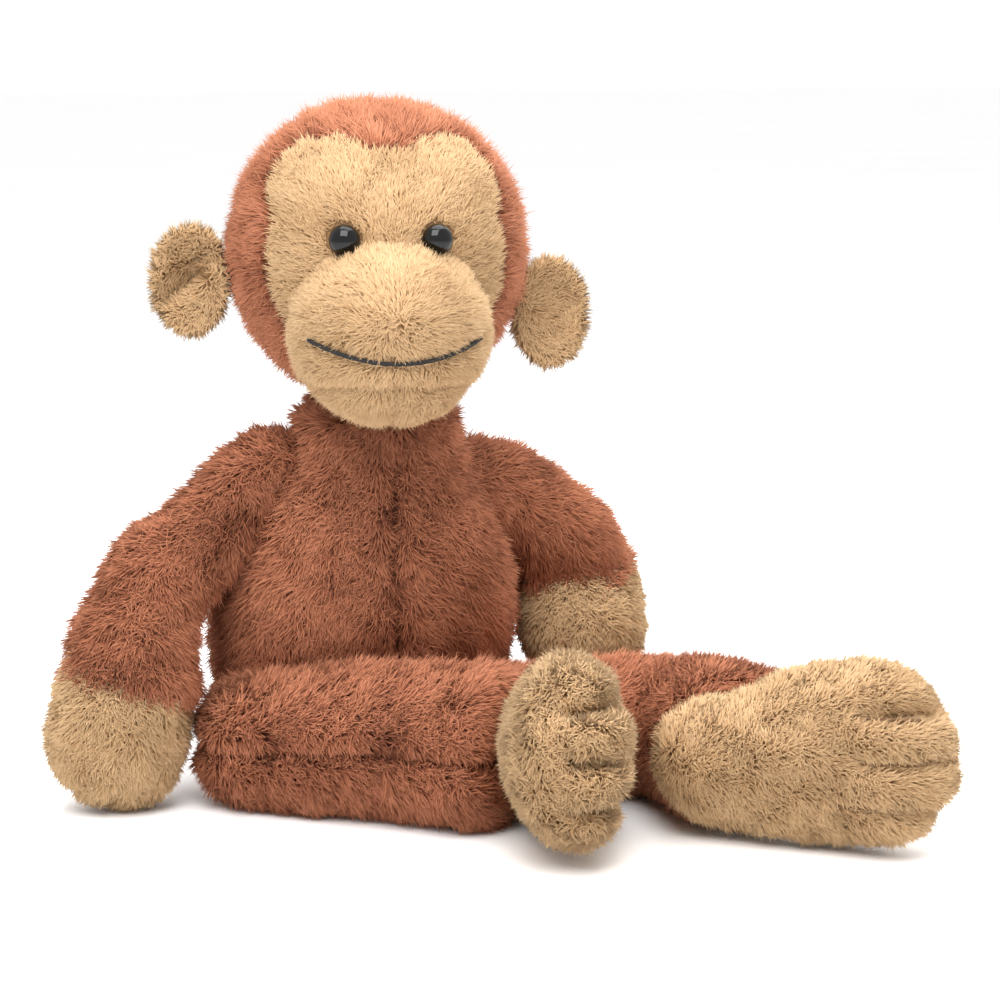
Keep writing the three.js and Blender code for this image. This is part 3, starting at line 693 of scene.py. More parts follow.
@dataclass
class Torso:
    """The pear-shaped body on its flat seat.

    Attributes:
        height: seat to neck, in millimetres.
        belly: half width and half depth at the belly.
        seat: half width and half depth at the seat.
        neck: half width and half depth at the neck.
        lean: how far the neck stands forward of the seat.
        sway: how far the neck stands to the toy's left.
        pile_depth: how far the backing cloth lies under the pile's surface.
    """

    height: float = 172
    belly: tuple = (75, 60)
    seat: tuple = (56, 46)
    neck: tuple = (41, 36)
    lean: float = 13
    sway: float = 6
    pile_depth: float = SKIN_DEPTH

    def surface(self) -> Surface:
        """Ellipses stacked on a leaning line, widths following a smooth curve of height.

        The half width at a share h of the height runs smoothly through the seat, belly, chest and
        neck; a crease is pressed in along the front and back seams, as the exponential of minus the
        squared distance from the seam.
        """
        knots = [
            (0, self.seat[0], self.seat[1]),
            (0.2, self.belly[0] - 5, self.belly[1] - 6),
            (0.47, self.belly[0], self.belly[1]),
            (0.68, self.belly[0] - 11, self.belly[1] - 8),
            (0.85, self.neck[0] + 8, self.neck[1] + 6),
            (1.0, self.neck[0], self.neck[1]),
        ]
        run = spline([(share * 100, wide, deep) for share, wide, deep in knots], 54)
        share = np.clip(run[:, 0] / 100, 0, 1)
        wide, deep = run[:, 1] - self.pile_depth, run[:, 2] - self.pile_depth
        under = np.linspace(0.02, 1, 7, endpoint=False)
        share = np.concatenate([np.zeros(7), share, np.ones(7)])
        wide = np.concatenate([wide[0] * under, wide, wide[-1] * under[::-1]])
        deep = np.concatenate([deep[0] * under, deep, deep[-1] * under[::-1]])
        u = np.linspace(0, 2 * np.pi, 84, endpoint=False)
        x = wide[:, None] * np.cos(u) + (self.sway * share)[:, None]
        y = deep[:, None] * np.sin(u) - (self.lean * share**1.5)[:, None]
        lift = 4 + (self.height - 4) * share
        z = lift[:, None] + 0 * u
        body = lumps(Surface(np.stack([x, y, z], -1)), 1.4, 70, 3)
        seam = np.exp(-(((body.grid[..., 0] - self.seam_x(body.grid[..., 2])) / 5) ** 2))
        sides = np.abs(body.normals()[..., 2]) < 0.8
        return body.pushed(-4.4 * seam * sides)

    def seam_x(self, z: np.ndarray) -> np.ndarray:
        """The seam's X at a height: it wanders a few millimetres about the middle."""
        return self.sway * z / self.height + 1.5 * np.sin(z / 26)

    def comb(self, feet: np.ndarray, normals: np.ndarray) -> np.ndarray:
        """Pile combed down, parting a little to either side of the front seam."""
        aside = np.sign(feet[:, 0] - self.seam_x(feet[:, 2])) * np.exp(-np.abs(feet[:, 0]) / 30)
        return np.stack([aside * 0.9, 0 * aside, -np.ones(len(feet))], -1)

    def keep(self, feet: np.ndarray, normals: np.ndarray) -> np.ndarray:
        """Shorter pile along the seam and under the seat, where its tone is darkened as painted shade."""
        seam = np.abs(feet[:, 0] - self.seam_x(feet[:, 2]))
        share = 0.4 + 0.6 * np.clip(seam / 6, 0, 1)
        return np.where(normals[:, 2] < -0.7, 0.3, share)

    def build(self) -> None:
        """Makes the front and back pile, on one backing cloth, and the filling inside."""
        whole = self.surface()
        front = self.furred_half("torso_front_pile", whole, -1, [skin_mesh(whole)])
        back = self.furred_half("torso_back_pile", whole, 1, [])
        front_nodes = ("torso_front_left", "torso_front_right", "seat_panel")
        declare(front, "torso", front_nodes)
        declare(back, "torso", ("torso_back_left", "torso_back_right"))
        stuff("torso_filling", whole, "torso", ("torso_stuffing",))

    def furred_half(self, name: str, whole: Surface, sign: int, layers: list) -> bpy.types.Object:
        """The pile on one half of the torso.

        Args:
            name: the object's name.
            whole: the torso's skin.
            sign: -1 for the front half and 1 for the back.
            layers: what the object shows besides.

        Returns:
            The object.
        """

        def rule(feet: np.ndarray, normals: np.ndarray) -> np.ndarray:
            """The keep rule on this half only."""
            return self.keep(feet, normals) * (normals[:, 1] * sign > 0)

        coat = Coat(LONG_PILE, self.comb, 20 + sign, rule, 0.42)
        return make_object(name, [grounded(layer) for layer in layers + [coat.grown(whole).mesh()]], RUST)


# ---------------------------------------------------------------- head


@dataclass
class Head:
    """The round head, its heart-shaped face, muzzle, eyes, mouth and the knot under it.

    Attributes:
        turn: degrees that the face is turned from the torso's front.
        rise: from the neck joint up to the head's middle.
        forward: from the neck joint forward to the head's middle.
        halves: half sizes of the head, over the pile.
        muzzle: half sizes of the muzzle, over the pile.
        muzzle_at: the muzzle's middle from the head's middle.
        eye_x: each eye's distance from the middle.
        eye_z: the eyes' height over the head's middle.
        mouth_drop: the lip line's depth below the muzzle's middle, at its lowest.
        mouth_rise: how far the mouth's corners turn up.
        mouth_half: half the mouth's width.
        brow: the radius of each brow of the heart, and its middle's X and Z.
        cheeks: half the width and half the height of the heart below.
        cheek_drop: how far the cheeks' middle lies below the head's.
    """

    turn: float = -12
    rise: float = 80
    forward: float = 5
    halves: tuple = (70, 67.5, 70.5)
    muzzle: tuple = (46.5, 47, 43.5)
    muzzle_at: tuple = (0, -53, -33)
    eye_x: float = 20.5
    eye_z: float = 8.5
    mouth_drop: float = 10
    mouth_rise: float = 9
    mouth_half: float = 38
    brow: tuple = (26, 23.5, 25)
    cheeks: tuple = (51, 47.5)
    cheek_drop: float = 2

    def placed(self, points: np.ndarray) -> np.ndarray:
        """Places given from the head's middle, facing -Y, as places in the toy."""
        moved = points + np.array([0, -self.forward, self.rise])
        return turned_z(moved, self.turn) + joint("head_nod")

    def heart(self, x: np.ndarray, z: np.ndarray) -> np.ndarray:
        """How far inside the face's heart outline a place is, in millimetres, negative outside.

        The outline is two circles side by side under the brow, joined down to the muzzle: the
        distance is the largest of the two circles' and the cheeks' ellipse.

        Args:
            x: places across the head from its middle.
            z: their heights from its middle.

        Returns:
            One distance per place.
        """
        radius, apart, rise = self.brow
        wide, tall = self.cheeks
        brow = radius - np.hypot(np.abs(x) - apart, z - rise)
        cheek = (1 - np.sqrt((x / wide) ** 2 + ((z + self.cheek_drop) / tall) ** 2)) * 47
        return np.maximum(brow, cheek)

    def muzzle_depth(self, p: np.ndarray) -> np.ndarray:
        """How far inside the muzzle a place is, roughly in millimetres."""
        q = (p - np.array(self.muzzle_at)) / np.array(self.muzzle)
        return (1 - np.linalg.norm(q, axis=-1)) * self.muzzle[2]

    def head_surface(self, inset: float) -> Surface:
        """The head's ellipsoid in the toy's frame, a little uneven, with its crown seam pressed in."""
        base = ellipsoid((0, 0, 0), tuple(half - inset for half in self.halves), 60, 96)
        base = lumps(base, 0.9, 60, 7)
        seam = np.exp(-((base.grid[..., 0] / 4) ** 2)) * (base.grid[..., 1] > -25)
        return base.pushed(-2.0 * seam)

    def rust_keep(self, feet: np.ndarray, normals: np.ndarray) -> np.ndarray:
        """Full pile outside the face, none inside it or under the muzzle; longer at its edge."""
        inside = self.heart(feet[:, 0], feet[:, 2])
        front = feet[:, 1] < FRONT_OF_HEAD
        fringe = 1 + 0.12 * np.exp(-((inside + 4) ** 2) / 40)
        bare = (front & (inside > -0.5)) | (self.muzzle_depth(feet) > 2)
        return np.where(bare, 0, fringe)

    def rust_comb(self, feet: np.ndarray, normals: np.ndarray) -> np.ndarray:
        """Pile combed away from the face over the head, and down at the back."""
        away = feet - np.array([0, -self.halves[1] * 0.9, -5])
        return unit(away) + np.array([0, 0, -0.25])

    def face_keep(self, feet: np.ndarray, normals: np.ndarray) -> np.ndarray:
        """Short pile inside the heart only, clear of eyes and muzzle; shorter near the eyes, with painted
        shade.
        """
        inside = self.heart(feet[:, 0], feet[:, 2])
        eye = np.hypot(np.abs(feet[:, 0]) - self.eye_x, feet[:, 2] - self.eye_z)
        share = 0.5 + 0.5 * np.clip((eye - 8) / 9, 0, 1)
        off_face = (feet[:, 1] > FRONT_OF_HEAD) | (inside < 0.5)
        bare = off_face | (self.muzzle_depth(feet) > 3) | (eye < 7.7)
        return np.where(bare, 0, share)

    def face_comb(self, feet: np.ndarray, normals: np.ndarray) -> np.ndarray:
        """Face pile combed up and outward from the muzzle."""
        return feet - np.array([0, -60, -30])

    def muzzle_surface(self, inset: float) -> Surface:
        """The muzzle's ellipsoid with the lip crease and the chin seam pressed in.

        The crease is a groove across the front below the mouth, and the seam a groove down the
        middle of the chin; each is the exponential of minus the squared distance from its line.
        """
        base = ellipsoid(self.muzzle_at, tuple(half - inset for half in self.muzzle), 60, 90)
        p = base.grid - np.array(self.muzzle_at)
        x, z, front = p[..., 0], p[..., 2], p[..., 1] < 0
        lip = np.exp(-(((z + 20 + 0.004 * x**2) / 3.5) ** 2)) * (np.abs(x) < 34)
        chin = np.exp(-((x / 3) ** 2)) * (z < -16)
        mouth = np.exp(-(((z - self.mouth_z(x)) / 3) ** 2)) * (np.abs(x) < self.mouth_half)
        return base.pushed(-(2.6 * lip + 2.2 * chin + 1.4 * mouth) * front)

    def mouth_z(self, x: np.ndarray) -> np.ndarray:
        """The mouth line's height from the muzzle's middle: a parabola that turns up at its ends."""
        return -self.mouth_drop + self.mouth_rise * (x / self.mouth_half) ** 2

    def muzzle_keep(self, feet: np.ndarray, normals: np.ndarray) -> np.ndarray:
        """Short pile, thinner along the mouth, the lip crease and the chin seam, with painted shade there.
        """
        p = feet - np.array(self.muzzle_at)
        line = np.abs(p[:, 2] - self.mouth_z(p[:, 0]))
        on_mouth = (np.abs(p[:, 0]) < self.mouth_half + 1) & (p[:, 1] < 0)
        share = np.where(on_mouth & (line < 4), 0.35 + 0.15 * line, 1.0)
        share = share * (1 - 0.45 * np.exp(-(((p[:, 2] + 20) / 3) ** 2)) * (p[:, 1] < 0))
        hidden = ((feet / (np.array(self.halves) - 12)) ** 2).sum(-1) < 1
        return np.where(hidden, 0, share)

    def muzzle_comb(self, feet: np.ndarray, normals: np.ndarray) -> np.ndarray:
        """Pile combed away from a whorl at the nose, up above it and down below."""
        nose = np.array([0, self.muzzle_at[1] - self.muzzle[1], self.muzzle_at[2] + 12])
        return feet - nose

    def moved(self, layers: list) -> list:
        """Layers built about the head's middle, put in their place in the toy."""
        return [
            (self.placed(points), faces, uvs, turned_z(normals, self.turn))
            for points, faces, uvs, normals in layers
        ]

    def build(self) -> None:
        """Makes the two halves of the head, the face, the muzzle and what is sewn on them."""
        skull = self.head_surface(6.5)
        for side, nodes in ((Side.LEFT, ("head_left_panel",)), (Side.RIGHT, ("head_right_panel",))):
            keep = self.one_side(side)
            coat = Coat(HEAD_PILE, self.rust_comb, 40 + side.value, keep, 0.56)
            layers = [coat.grown(skull).mesh()]
            if side is Side.LEFT:
                layers.append(skin_mesh(skull))
            name = f"head_{side.name.lower()}_pile"
            declare(make_object(name, self.moved(layers), RUST), "head", nodes)
        brow = self.head_surface(5.6)
        coat = Coat(SHORT_PILE, self.face_comb, 51, self.face_keep, 0.5)
        layers = [coat.grown(brow).mesh(), self.face_patch()]
        face = make_object("face_pile", self.moved(layers), CAMEL)
        declare(face, "head", ("face_panel",))
        snout = self.muzzle_surface(4.6)
        coat = Coat(SHORT_PILE, self.muzzle_comb, 61, self.muzzle_keep, 0.56)
        layers = [coat.grown(snout).mesh(), skin_mesh(snout)]
        muzzle = make_object("muzzle_pile", self.moved(layers), CAMEL)
        declare(muzzle, "head", ("muzzle_panel", "chin_left_panel", "chin_right_panel"))
        self.build_eyes()
        self.build_mouth()
        stuff("head_filling", Surface(self.placed(self.head_surface(8).grid)), "head", ("head_stuffing",))

    def one_side(self, side: Side) -> Rule:
        """The rust keep rule for one side of the head only."""

        def rule(feet: np.ndarray, normals: np.ndarray) -> np.ndarray:
            """The rust rule where the foot lies on this side."""
            return self.rust_keep(feet, normals) * (feet[:, 0] * side.value > 0)

        return rule

    def face_patch(self) -> tuple:
        """The face's backing cloth: the front of the head inside the heart outline."""
        layer = self.head_surface(5.9)
        points, faces, uvs, normals = skin_mesh(layer, 0.5)
        middle = points[faces].mean(1)
        inside = (self.heart(middle[:, 0], middle[:, 2]) > -1) & (middle[:, 1] < FRONT_OF_HEAD)
        return points, faces[inside], uvs[inside], normals

    def front_of(self, x: float, z: float, inset: float) -> np.ndarray:
        """The place on the front of the head's ellipsoid at an X and Z.

        Args:
            x: across from the head's middle.
            z: up from it.
            inset: how far inside the pile's surface.

        Returns:
            The place, from the head's middle.
        """
        a, b, c = (half - inset for half in self.halves)
        return np.array([x, -b * math.sqrt(1 - (x / a) ** 2 - (z / c) ** 2), z])

    def build_eyes(self) -> None:
        """Each eye: a dome of revolution, r = R cos(t), height = h sin(t), on a flat rim."""
        tilt = np.linspace(0, np.pi / 2 - 0.001, 22)
        reach = np.concatenate([[0.05, 6.2, 6.9], 7.2 * np.cos(tilt) ** 0.96])
        height = np.concatenate([[-3.5, -3.4, -1.2], 6.2 * np.sin(tilt)])
        u = np.linspace(0, 2 * np.pi, 40, endpoint=False)
        grid = np.stack(
            [reach[:, None] * np.cos(u), reach[:, None] * np.sin(u), height[:, None] + 0 * u], -1
        )
        for side in Side:
            spot = self.front_of(side.value * self.eye_x, self.eye_z, 3.2)
            outward = unit(spot / np.array(self.halves) ** 2 + np.array([0, -0.004, -0.001]))
            across = unit(np.cross([0, 0, 1.0], outward))
            basis = np.stack([across, np.cross(outward, across), outward])
            dome = Surface(self.placed(grid @ basis + spot + outward * 0.6))
            name = side.name.lower()
            piece = make_object(f"{name}_eye_dome", [skin_mesh(dome)], EYE_GLOSS)
            declare(piece, "head", (f"{name}_eye",))

    def build_mouth(self) -> None:
        """The smile: overlapping satin stitches along the mouth line, each a short fat strand."""
        x = np.linspace(-self.mouth_half, self.mouth_half, 46)
        z = self.mouth_z(x) + np.array(self.muzzle_at)[2]
        a, b, c = (half - 1.9 for half in self.muzzle)
        y = -b * np.sqrt(1 - (x / a) ** 2 - ((z - self.muzzle_at[2]) / c) ** 2) + self.muzzle_at[1]
        line = np.stack([x, y, z], -1)
        tube = stuffed_tube(line, 0.95 + 0.12 * np.sin(np.arange(46) * np.pi / 1.5), columns=14)
        layers = self.moved([skin_mesh(tube)])
        declare(make_object("smile", layers, MOUTH_THREAD), "head", ("mouth_thread",))


@dataclass
class Neck:
    """The knot of stuffing that the head turns on, in its own sleeve of pile.

    Attributes:
        radius: half its width over the pile.
        half_height: half its height.
    """

    radius: float = 31
    half_height: float = 24

    def comb(self, feet: np.ndarray, normals: np.ndarray) -> np.ndarray:
        """Pile combed down."""
        return np.array([[0.0, 0.0, -1.0]]) + 0 * feet

    def build(self) -> None:
        """A ball of pile at the neck joint."""
        centre = tuple(joint("neck_turn") + np.array([0, 0, -2]))
        knot = ellipsoid(centre, (self.radius, self.radius, self.half_height), 30, 48)
        piece = furred("neck_pile", knot, Coat(HEAD_PILE, self.comb, 71, None, 0.4), RUST)
        declare(piece, "neck", ("neck_knot",))


@dataclass
class Ear:
    """One cupped ear at the side of the head, placed at its hinge joint.

    Attributes:
        side: which ear.
        reach: how far it stands out from its root.
        tall: its height.
        cup: how far its rim curls forward.
        fold: how far its lower half folds back over itself.
        root: how far inside the head's side its root starts, as a negative step.
    """

    side: Side
    reach: float = 32
    tall: float = 52
    cup: float = 11
    fold: float = 0.0
    root: float = -5

    def surface(self) -> Surface:
        """A flattened ellipsoid bent into a cup.

        With r the distance from the ear's middle as a share of its rim, the cup's depth is the
        cup times r squared, and the fold presses a slanting valley into the front.
        """
        thick = 4.2
        wide = (self.reach - self.root) / 2
        base = ellipsoid((0, 0, 0), (wide - 3, thick, self.tall / 2 - 3), 40, 64).grid
        x, y, z = base[..., 0], base[..., 1], base[..., 2]
        share = (x / wide) ** 2 + (z / (self.tall / 2)) ** 2
        slant = (z * 0.8 + x * self.side.value * 0.6) / 5
        valley = self.fold * np.exp(-(slant**2)) * (1 - share)
        y = y - self.cup * share + valley
        x = x + self.side.value * (wide + self.root)
        place = np.stack([x, y + 3, z], -1)
        return Surface(turned_z(place, Head.turn) + self.hinge())

    def hinge(self) -> np.ndarray:
        """The ear's hinge at rest."""
        return joint(f"{self.side.name.lower()}_ear_fold")

    def comb(self, feet: np.ndarray, normals: np.ndarray) -> np.ndarray:
        """Pile combed from the ear's root out to its rim."""
        out = turned_z(np.array([[self.side.value * 6.0, 0, 0]]), Head.turn)
        return feet - (self.hinge() + out[0])

    def build(self) -> None:
        """Makes the ear's pile and hides the CAD ear's front and back."""
        name = self.side.name.lower()
        cup = self.surface()
        coat = Coat(SHORT_PILE, self.comb, 80 + self.side.value, None, 0.52)
        piece = furred(f"{name}_ear_pile", cup, coat, CAMEL)
        nodes = (f"{name}_ear_front", f"{name}_ear_back")
        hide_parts(*nodes)
        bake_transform(piece)


# ---------------------------------------------------------------- limbs


@dataclass
class Limb:
    """A stuffed rust sleeve between two joints.

    Attributes:
        name: the limb's name, which is also its body's.
        root: the joint that it hangs on.
        tip: the joint at its far end.
        inner: a step from the root joint back into the torso, where the sleeve starts.
        waypoints: places between the joints, as a share of the way and a step aside from it.
        radii: radius over the pile at the root, middle and cuff.
        short: how far before the far joint the sleeve ends.
        seed: makes the same coat each time.
        tone: how light the coat is.
        seam: the way that the cloth's two panels face.
    """

    name: str
    root: str
    tip: str
    inner: tuple
    waypoints: list
    radii: tuple
    short: float
    seed: int
    tone: float = 0.42
    seam: tuple = (0, 1, 0)

    def path(self) -> np.ndarray:
        """Places along the limb's middle, from inside the torso to the cuff."""
        start, end = joint(self.root), joint(self.tip)
        points = [start + np.array(self.inner), start]
        points += [start + (end - start) * share + np.array(step) for share, step in self.waypoints]
        last = end - unit(end - points[-1]) * self.short
        return spline(points + [last], 46)

    def surface(self) -> Surface:
        """The sleeve's skin: a lumpy tube that swells at the cuff, with its side seams pressed in."""
        path = self.path()
        root, middle, cuff = self.radii
        way = np.linspace(0, 1, len(path))
        radii = np.interp(way, [0, 0.5, 0.9, 0.97, 1], [root, middle, cuff - 1, cuff + 1.5, cuff])
        tube = lumps(stuffed_tube(path, radii - SKIN_DEPTH, 0.25), 1.2, 46, self.seed)
        offset = self.off_seam(tube.grid.reshape(-1, 3)).reshape(tube.grid.shape[:2])
        return tube.pushed(-3.6 * np.exp(-((offset / 4) ** 2)))

    def off_seam(self, points: np.ndarray) -> np.ndarray:
        """How far places stand from the plane that the limb's two side seams run in."""
        path = self.path()
        nearest = np.argmin(np.linalg.norm(points[:, None] - path[None], axis=-1), 1)
        way = unit(np.gradient(path, axis=0))[nearest]
        up = np.cross(unit(np.cross(way, self.seam)), way)
        return ((points - path[nearest]) * up).sum(-1)

    def keep(self, feet: np.ndarray, normals: np.ndarray) -> np.ndarray:
        """Shorter pile along the seam that runs down each side of the limb, darkened as painted shade."""
        return 0.2 + 0.8 * np.clip(np.abs(self.off_seam(feet)) / 6.5, 0, 1)

    def comb(self, feet: np.ndarray, normals: np.ndarray) -> np.ndarray:
        """Pile combed along the limb to its cuff, and a little down."""
        path = self.path()
        nearest = np.argmin(np.linalg.norm(feet[:, None] - path[None], axis=-1), 1)
        return unit(np.gradient(path, axis=0))[nearest] + np.array([0, 0, -0.35])

    def build(self) -> None:
        """Makes the sleeve, hides its CAD panels, and puts its filling in."""
        skin = self.surface()
        coat = Coat(LONG_PILE, self.comb, self.seed, self.keep, self.tone)
        piece = furred(f"{self.name}_pile", skin, coat, RUST)
        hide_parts(f"{self.name}_panel_a", f"{self.name}_panel_b")
        start = joint(self.root)
        way = unit(self.path()[24] - start)
        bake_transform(piece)
        stuff(f"{self.name}_filling", skin, self.name, (f"{self.name}_stuffing",))


@dataclass
class Hand:
    """A mitten hand: an oval form with faint finger dents.

    Attributes:
        side: which hand.
        pointing: the way from the wrist to the finger end.
        half_width: half its width over the pile.
        half_thickness: half its thickness over the pile.
        reach: from the wrist joint to the finger end.
        back: from the wrist joint back to the end inside the cuff.
    """

    side: Side
    pointing: tuple
    half_width: float = 34
    half_thickness: float = 28.5
    reach: float = 52
    back: float = 30

    def frame(self) -> tuple:
        """The wrist, and the ways across the hand, through it and along it."""
        name = self.side.name.lower()
        wrist = joint(f"{name}_wrist_bend")
        along = unit(np.array(self.pointing))
        across = unit(np.cross([0, 1.0, 0.15], along))
        return wrist, across, np.cross(along, across), along

    def surface(self) -> Surface:
        """An egg along the hand, its far half broader, with three dents at the finger end.

        The half width at a place s is the full width times (1 - |s|^2.5)^(1/2.5).
        """
        s = np.sin(np.linspace(-np.pi / 2 + 0.03, np.pi / 2 - 0.03, 44))
        full = (1 - np.abs(s) ** 2.5) ** (1 / 2.5)
        u = np.linspace(0, 2 * np.pi, 64, endpoint=False)
        x = (self.half_width - 5) * full[:, None] * np.cos(u)
        y = (self.half_thickness - 5) * full[:, None] * np.sin(u)
        middle, half = (self.reach - self.back) / 2, (self.reach + self.back) / 2 - 4
        z = (middle + half * s)[:, None] + 0 * u
        dents = sum(np.exp(-(((x - at) / 2.6) ** 2)) for at in (-14.5, 0, 14.5))
        form = Surface(np.stack([x, y, z], -1)).pushed(-2.2 * dents * np.clip((z - 18) / 20, 0, 1))
        wrist, across, through, along = self.frame()
        return lumps(Surface(form.grid @ np.stack([across, through, along]) + wrist), 0.8, 34, 5)

    def comb(self, feet: np.ndarray, normals: np.ndarray) -> np.ndarray:
        """Pile combed to the finger end."""
        return 0 * feet + self.frame()[3]

    def build(self) -> None:
        """Makes the hand and its filling."""
        name = f"{self.side.name.lower()}_hand"
        form = self.surface()
        piece = furred(f"{name}_pile", form, Coat(PAW_PILE, self.comb, 90 + self.side.value), CAMEL)
        declare(piece, name, (f"{name}_back", f"{name}_palm"))
        stuff(f"{name}_filling", form, name, (f"{name}_stuffing",))


@dataclass
class Foot:
    """A flat foot with four puffed toes parted by stitches.

    Attributes:
        side: which foot.
        toes: degrees from the torso's front that the toes point.
        lift: degrees that the toes are raised.
        puff: how strongly the toes stand out between their stitches.
        heel: from the ankle back to the heel.
        reach: from the ankle on to the toe tips.
        offset: from the ankle to the middle of the foot's thickness.
        heel_half: half the width at the heel, over the pile.
        toe_half: half the width at the toes, over the pile.
        half_thickness: half the thickness, over the pile.
    """

    side: Side
    toes: float
    lift: float = 0.0
    puff: float = 0.8
    heel: float = 37
    reach: float = 99
    offset: float = 24
    heel_half: float = 33
    toe_half: float = 43
    half_thickness: float = 28.5

    def placed(self, points: np.ndarray) -> np.ndarray:
        """Places given from the ankle, toes along +X, as places in the toy."""
        c, s = math.cos(math.radians(self.lift)), math.sin(math.radians(self.lift))
        raised = points @ np.array([[c, 0, s], [0, 1, 0], [-s, 0, c]])
        return turned_z(raised, self.toes - 90) + joint(f"{self.side.name.lower()}_ankle_bend")

    def toe_lines(self) -> list:
        """The widths at which the three stitches run."""
        return [-19.0, 0.5, 20.0]

    def form(self) -> Surface:
        """The foot about its ankle: broad ovals from heel to toes, with the toes parted.

        The half width at a place t along the foot runs from the heel's to the toes' as a smooth
        step, times (1 - |t|^3)^(1/2.6); grooves between the toes are exponentials of minus the
        squared distance across, fading in over the front of the foot.
        """
        s = np.sin(np.linspace(-np.pi / 2 + 0.02, np.pi / 2 - 0.02, 76))
        middle, half = (self.reach - self.heel) / 2, (self.reach + self.heel) / 2 - 5
        t = middle + half * s
        step = np.clip((t + 10) / (self.reach * 0.6 + 10), 0, 1)
        step = step * step * (3 - 2 * step)
        full = self.heel_half + (self.toe_half - self.heel_half) * step
        fall = (1 - np.abs(s) ** 3) ** (1 / 2.6)
        u = np.linspace(0, 2 * np.pi, 88, endpoint=False)
        wide = ((full - 5) * fall)[:, None] * np.sin(u)
        thick = ((self.half_thickness - 5) * fall ** 0.9)[:, None] * np.cos(u)
        rise = (full - self.heel_half)[:, None]
        x = t[:, None] + 0 * u
        base = Surface(np.stack([x, thick - self.side.value * self.offset, wide + rise], -1))
        front = np.clip((t - self.reach * 0.52) / (self.reach * 0.26), 0, 1)[:, None]
        lines = sum(np.exp(-(((wide - at) / 3.4) ** 2)) for at in self.toe_lines())
        sole = np.clip(0.55 - self.side.value * np.cos(u), 0, 1)
        puffs = base.pushed(self.puff * front * sole * (3.4 - 10.0 * lines))
        waist = np.exp(-(((t - 20) / 26) ** 2))[:, None] * (np.sin(u) < 0)
        return puffs.pushed(-1.5 * waist)

    def comb(self, feet: np.ndarray, normals: np.ndarray) -> np.ndarray:
        """Pile combed to the toes."""
        return self.placed(np.array([[1.0, 0, 0.0]])) - self.placed(np.zeros((1, 3))) + 0 * feet

    def build(self) -> None:
        """Makes the foot, its toe stitches and its filling."""
        name = self.side.name.lower()
        form = self.form()
        form = lumps(Surface(self.placed(form.grid)), 0.9, 40, 9)
        piece = furred(f"{name}_foot_pile", form, Coat(PAW_PILE, self.comb, 100 + self.side.value), CAMEL)
        declare(piece, f"{name}_foot", (f"{name}_foot_sole", f"{name}_foot_top"))
        stuff(f"{name}_foot_filling", form, f"{name}_foot", (f"{name}_foot_stuffing",))
        for number, at in enumerate(self.toe_lines(), 1):
            self.build_stitch(number, at)

    def build_stitch(self, number: int, at: float) -> None:
        """One pulled stitch: a thin thread down the groove between two toes.

        Args:
            number: which stitch, from 1.
            at: where it runs across the foot.
        """
        t = np.linspace(self.reach * 0.5, self.reach * 0.88, 22)
        depth = self.half_thickness - 8.6 - 6.0 * ((t - t[0]) / np.ptp(t)) ** 3
        line = np.stack([t, -self.side.value * (self.offset + depth), 0 * t + at + 9.3], -1)
        thread = stuffed_tube(self.placed(line), np.full(22, 0.8), columns=10)
        name = self.side.name.lower()
        piece = make_object(f"{name}_toe_thread_{number}", [skin_mesh(thread)], SEAM_THREAD)
        declare(piece, f"{name}_foot", (f"{name}_toe_stitch_{number}",))


# ---------------------------------------------------------------- studio


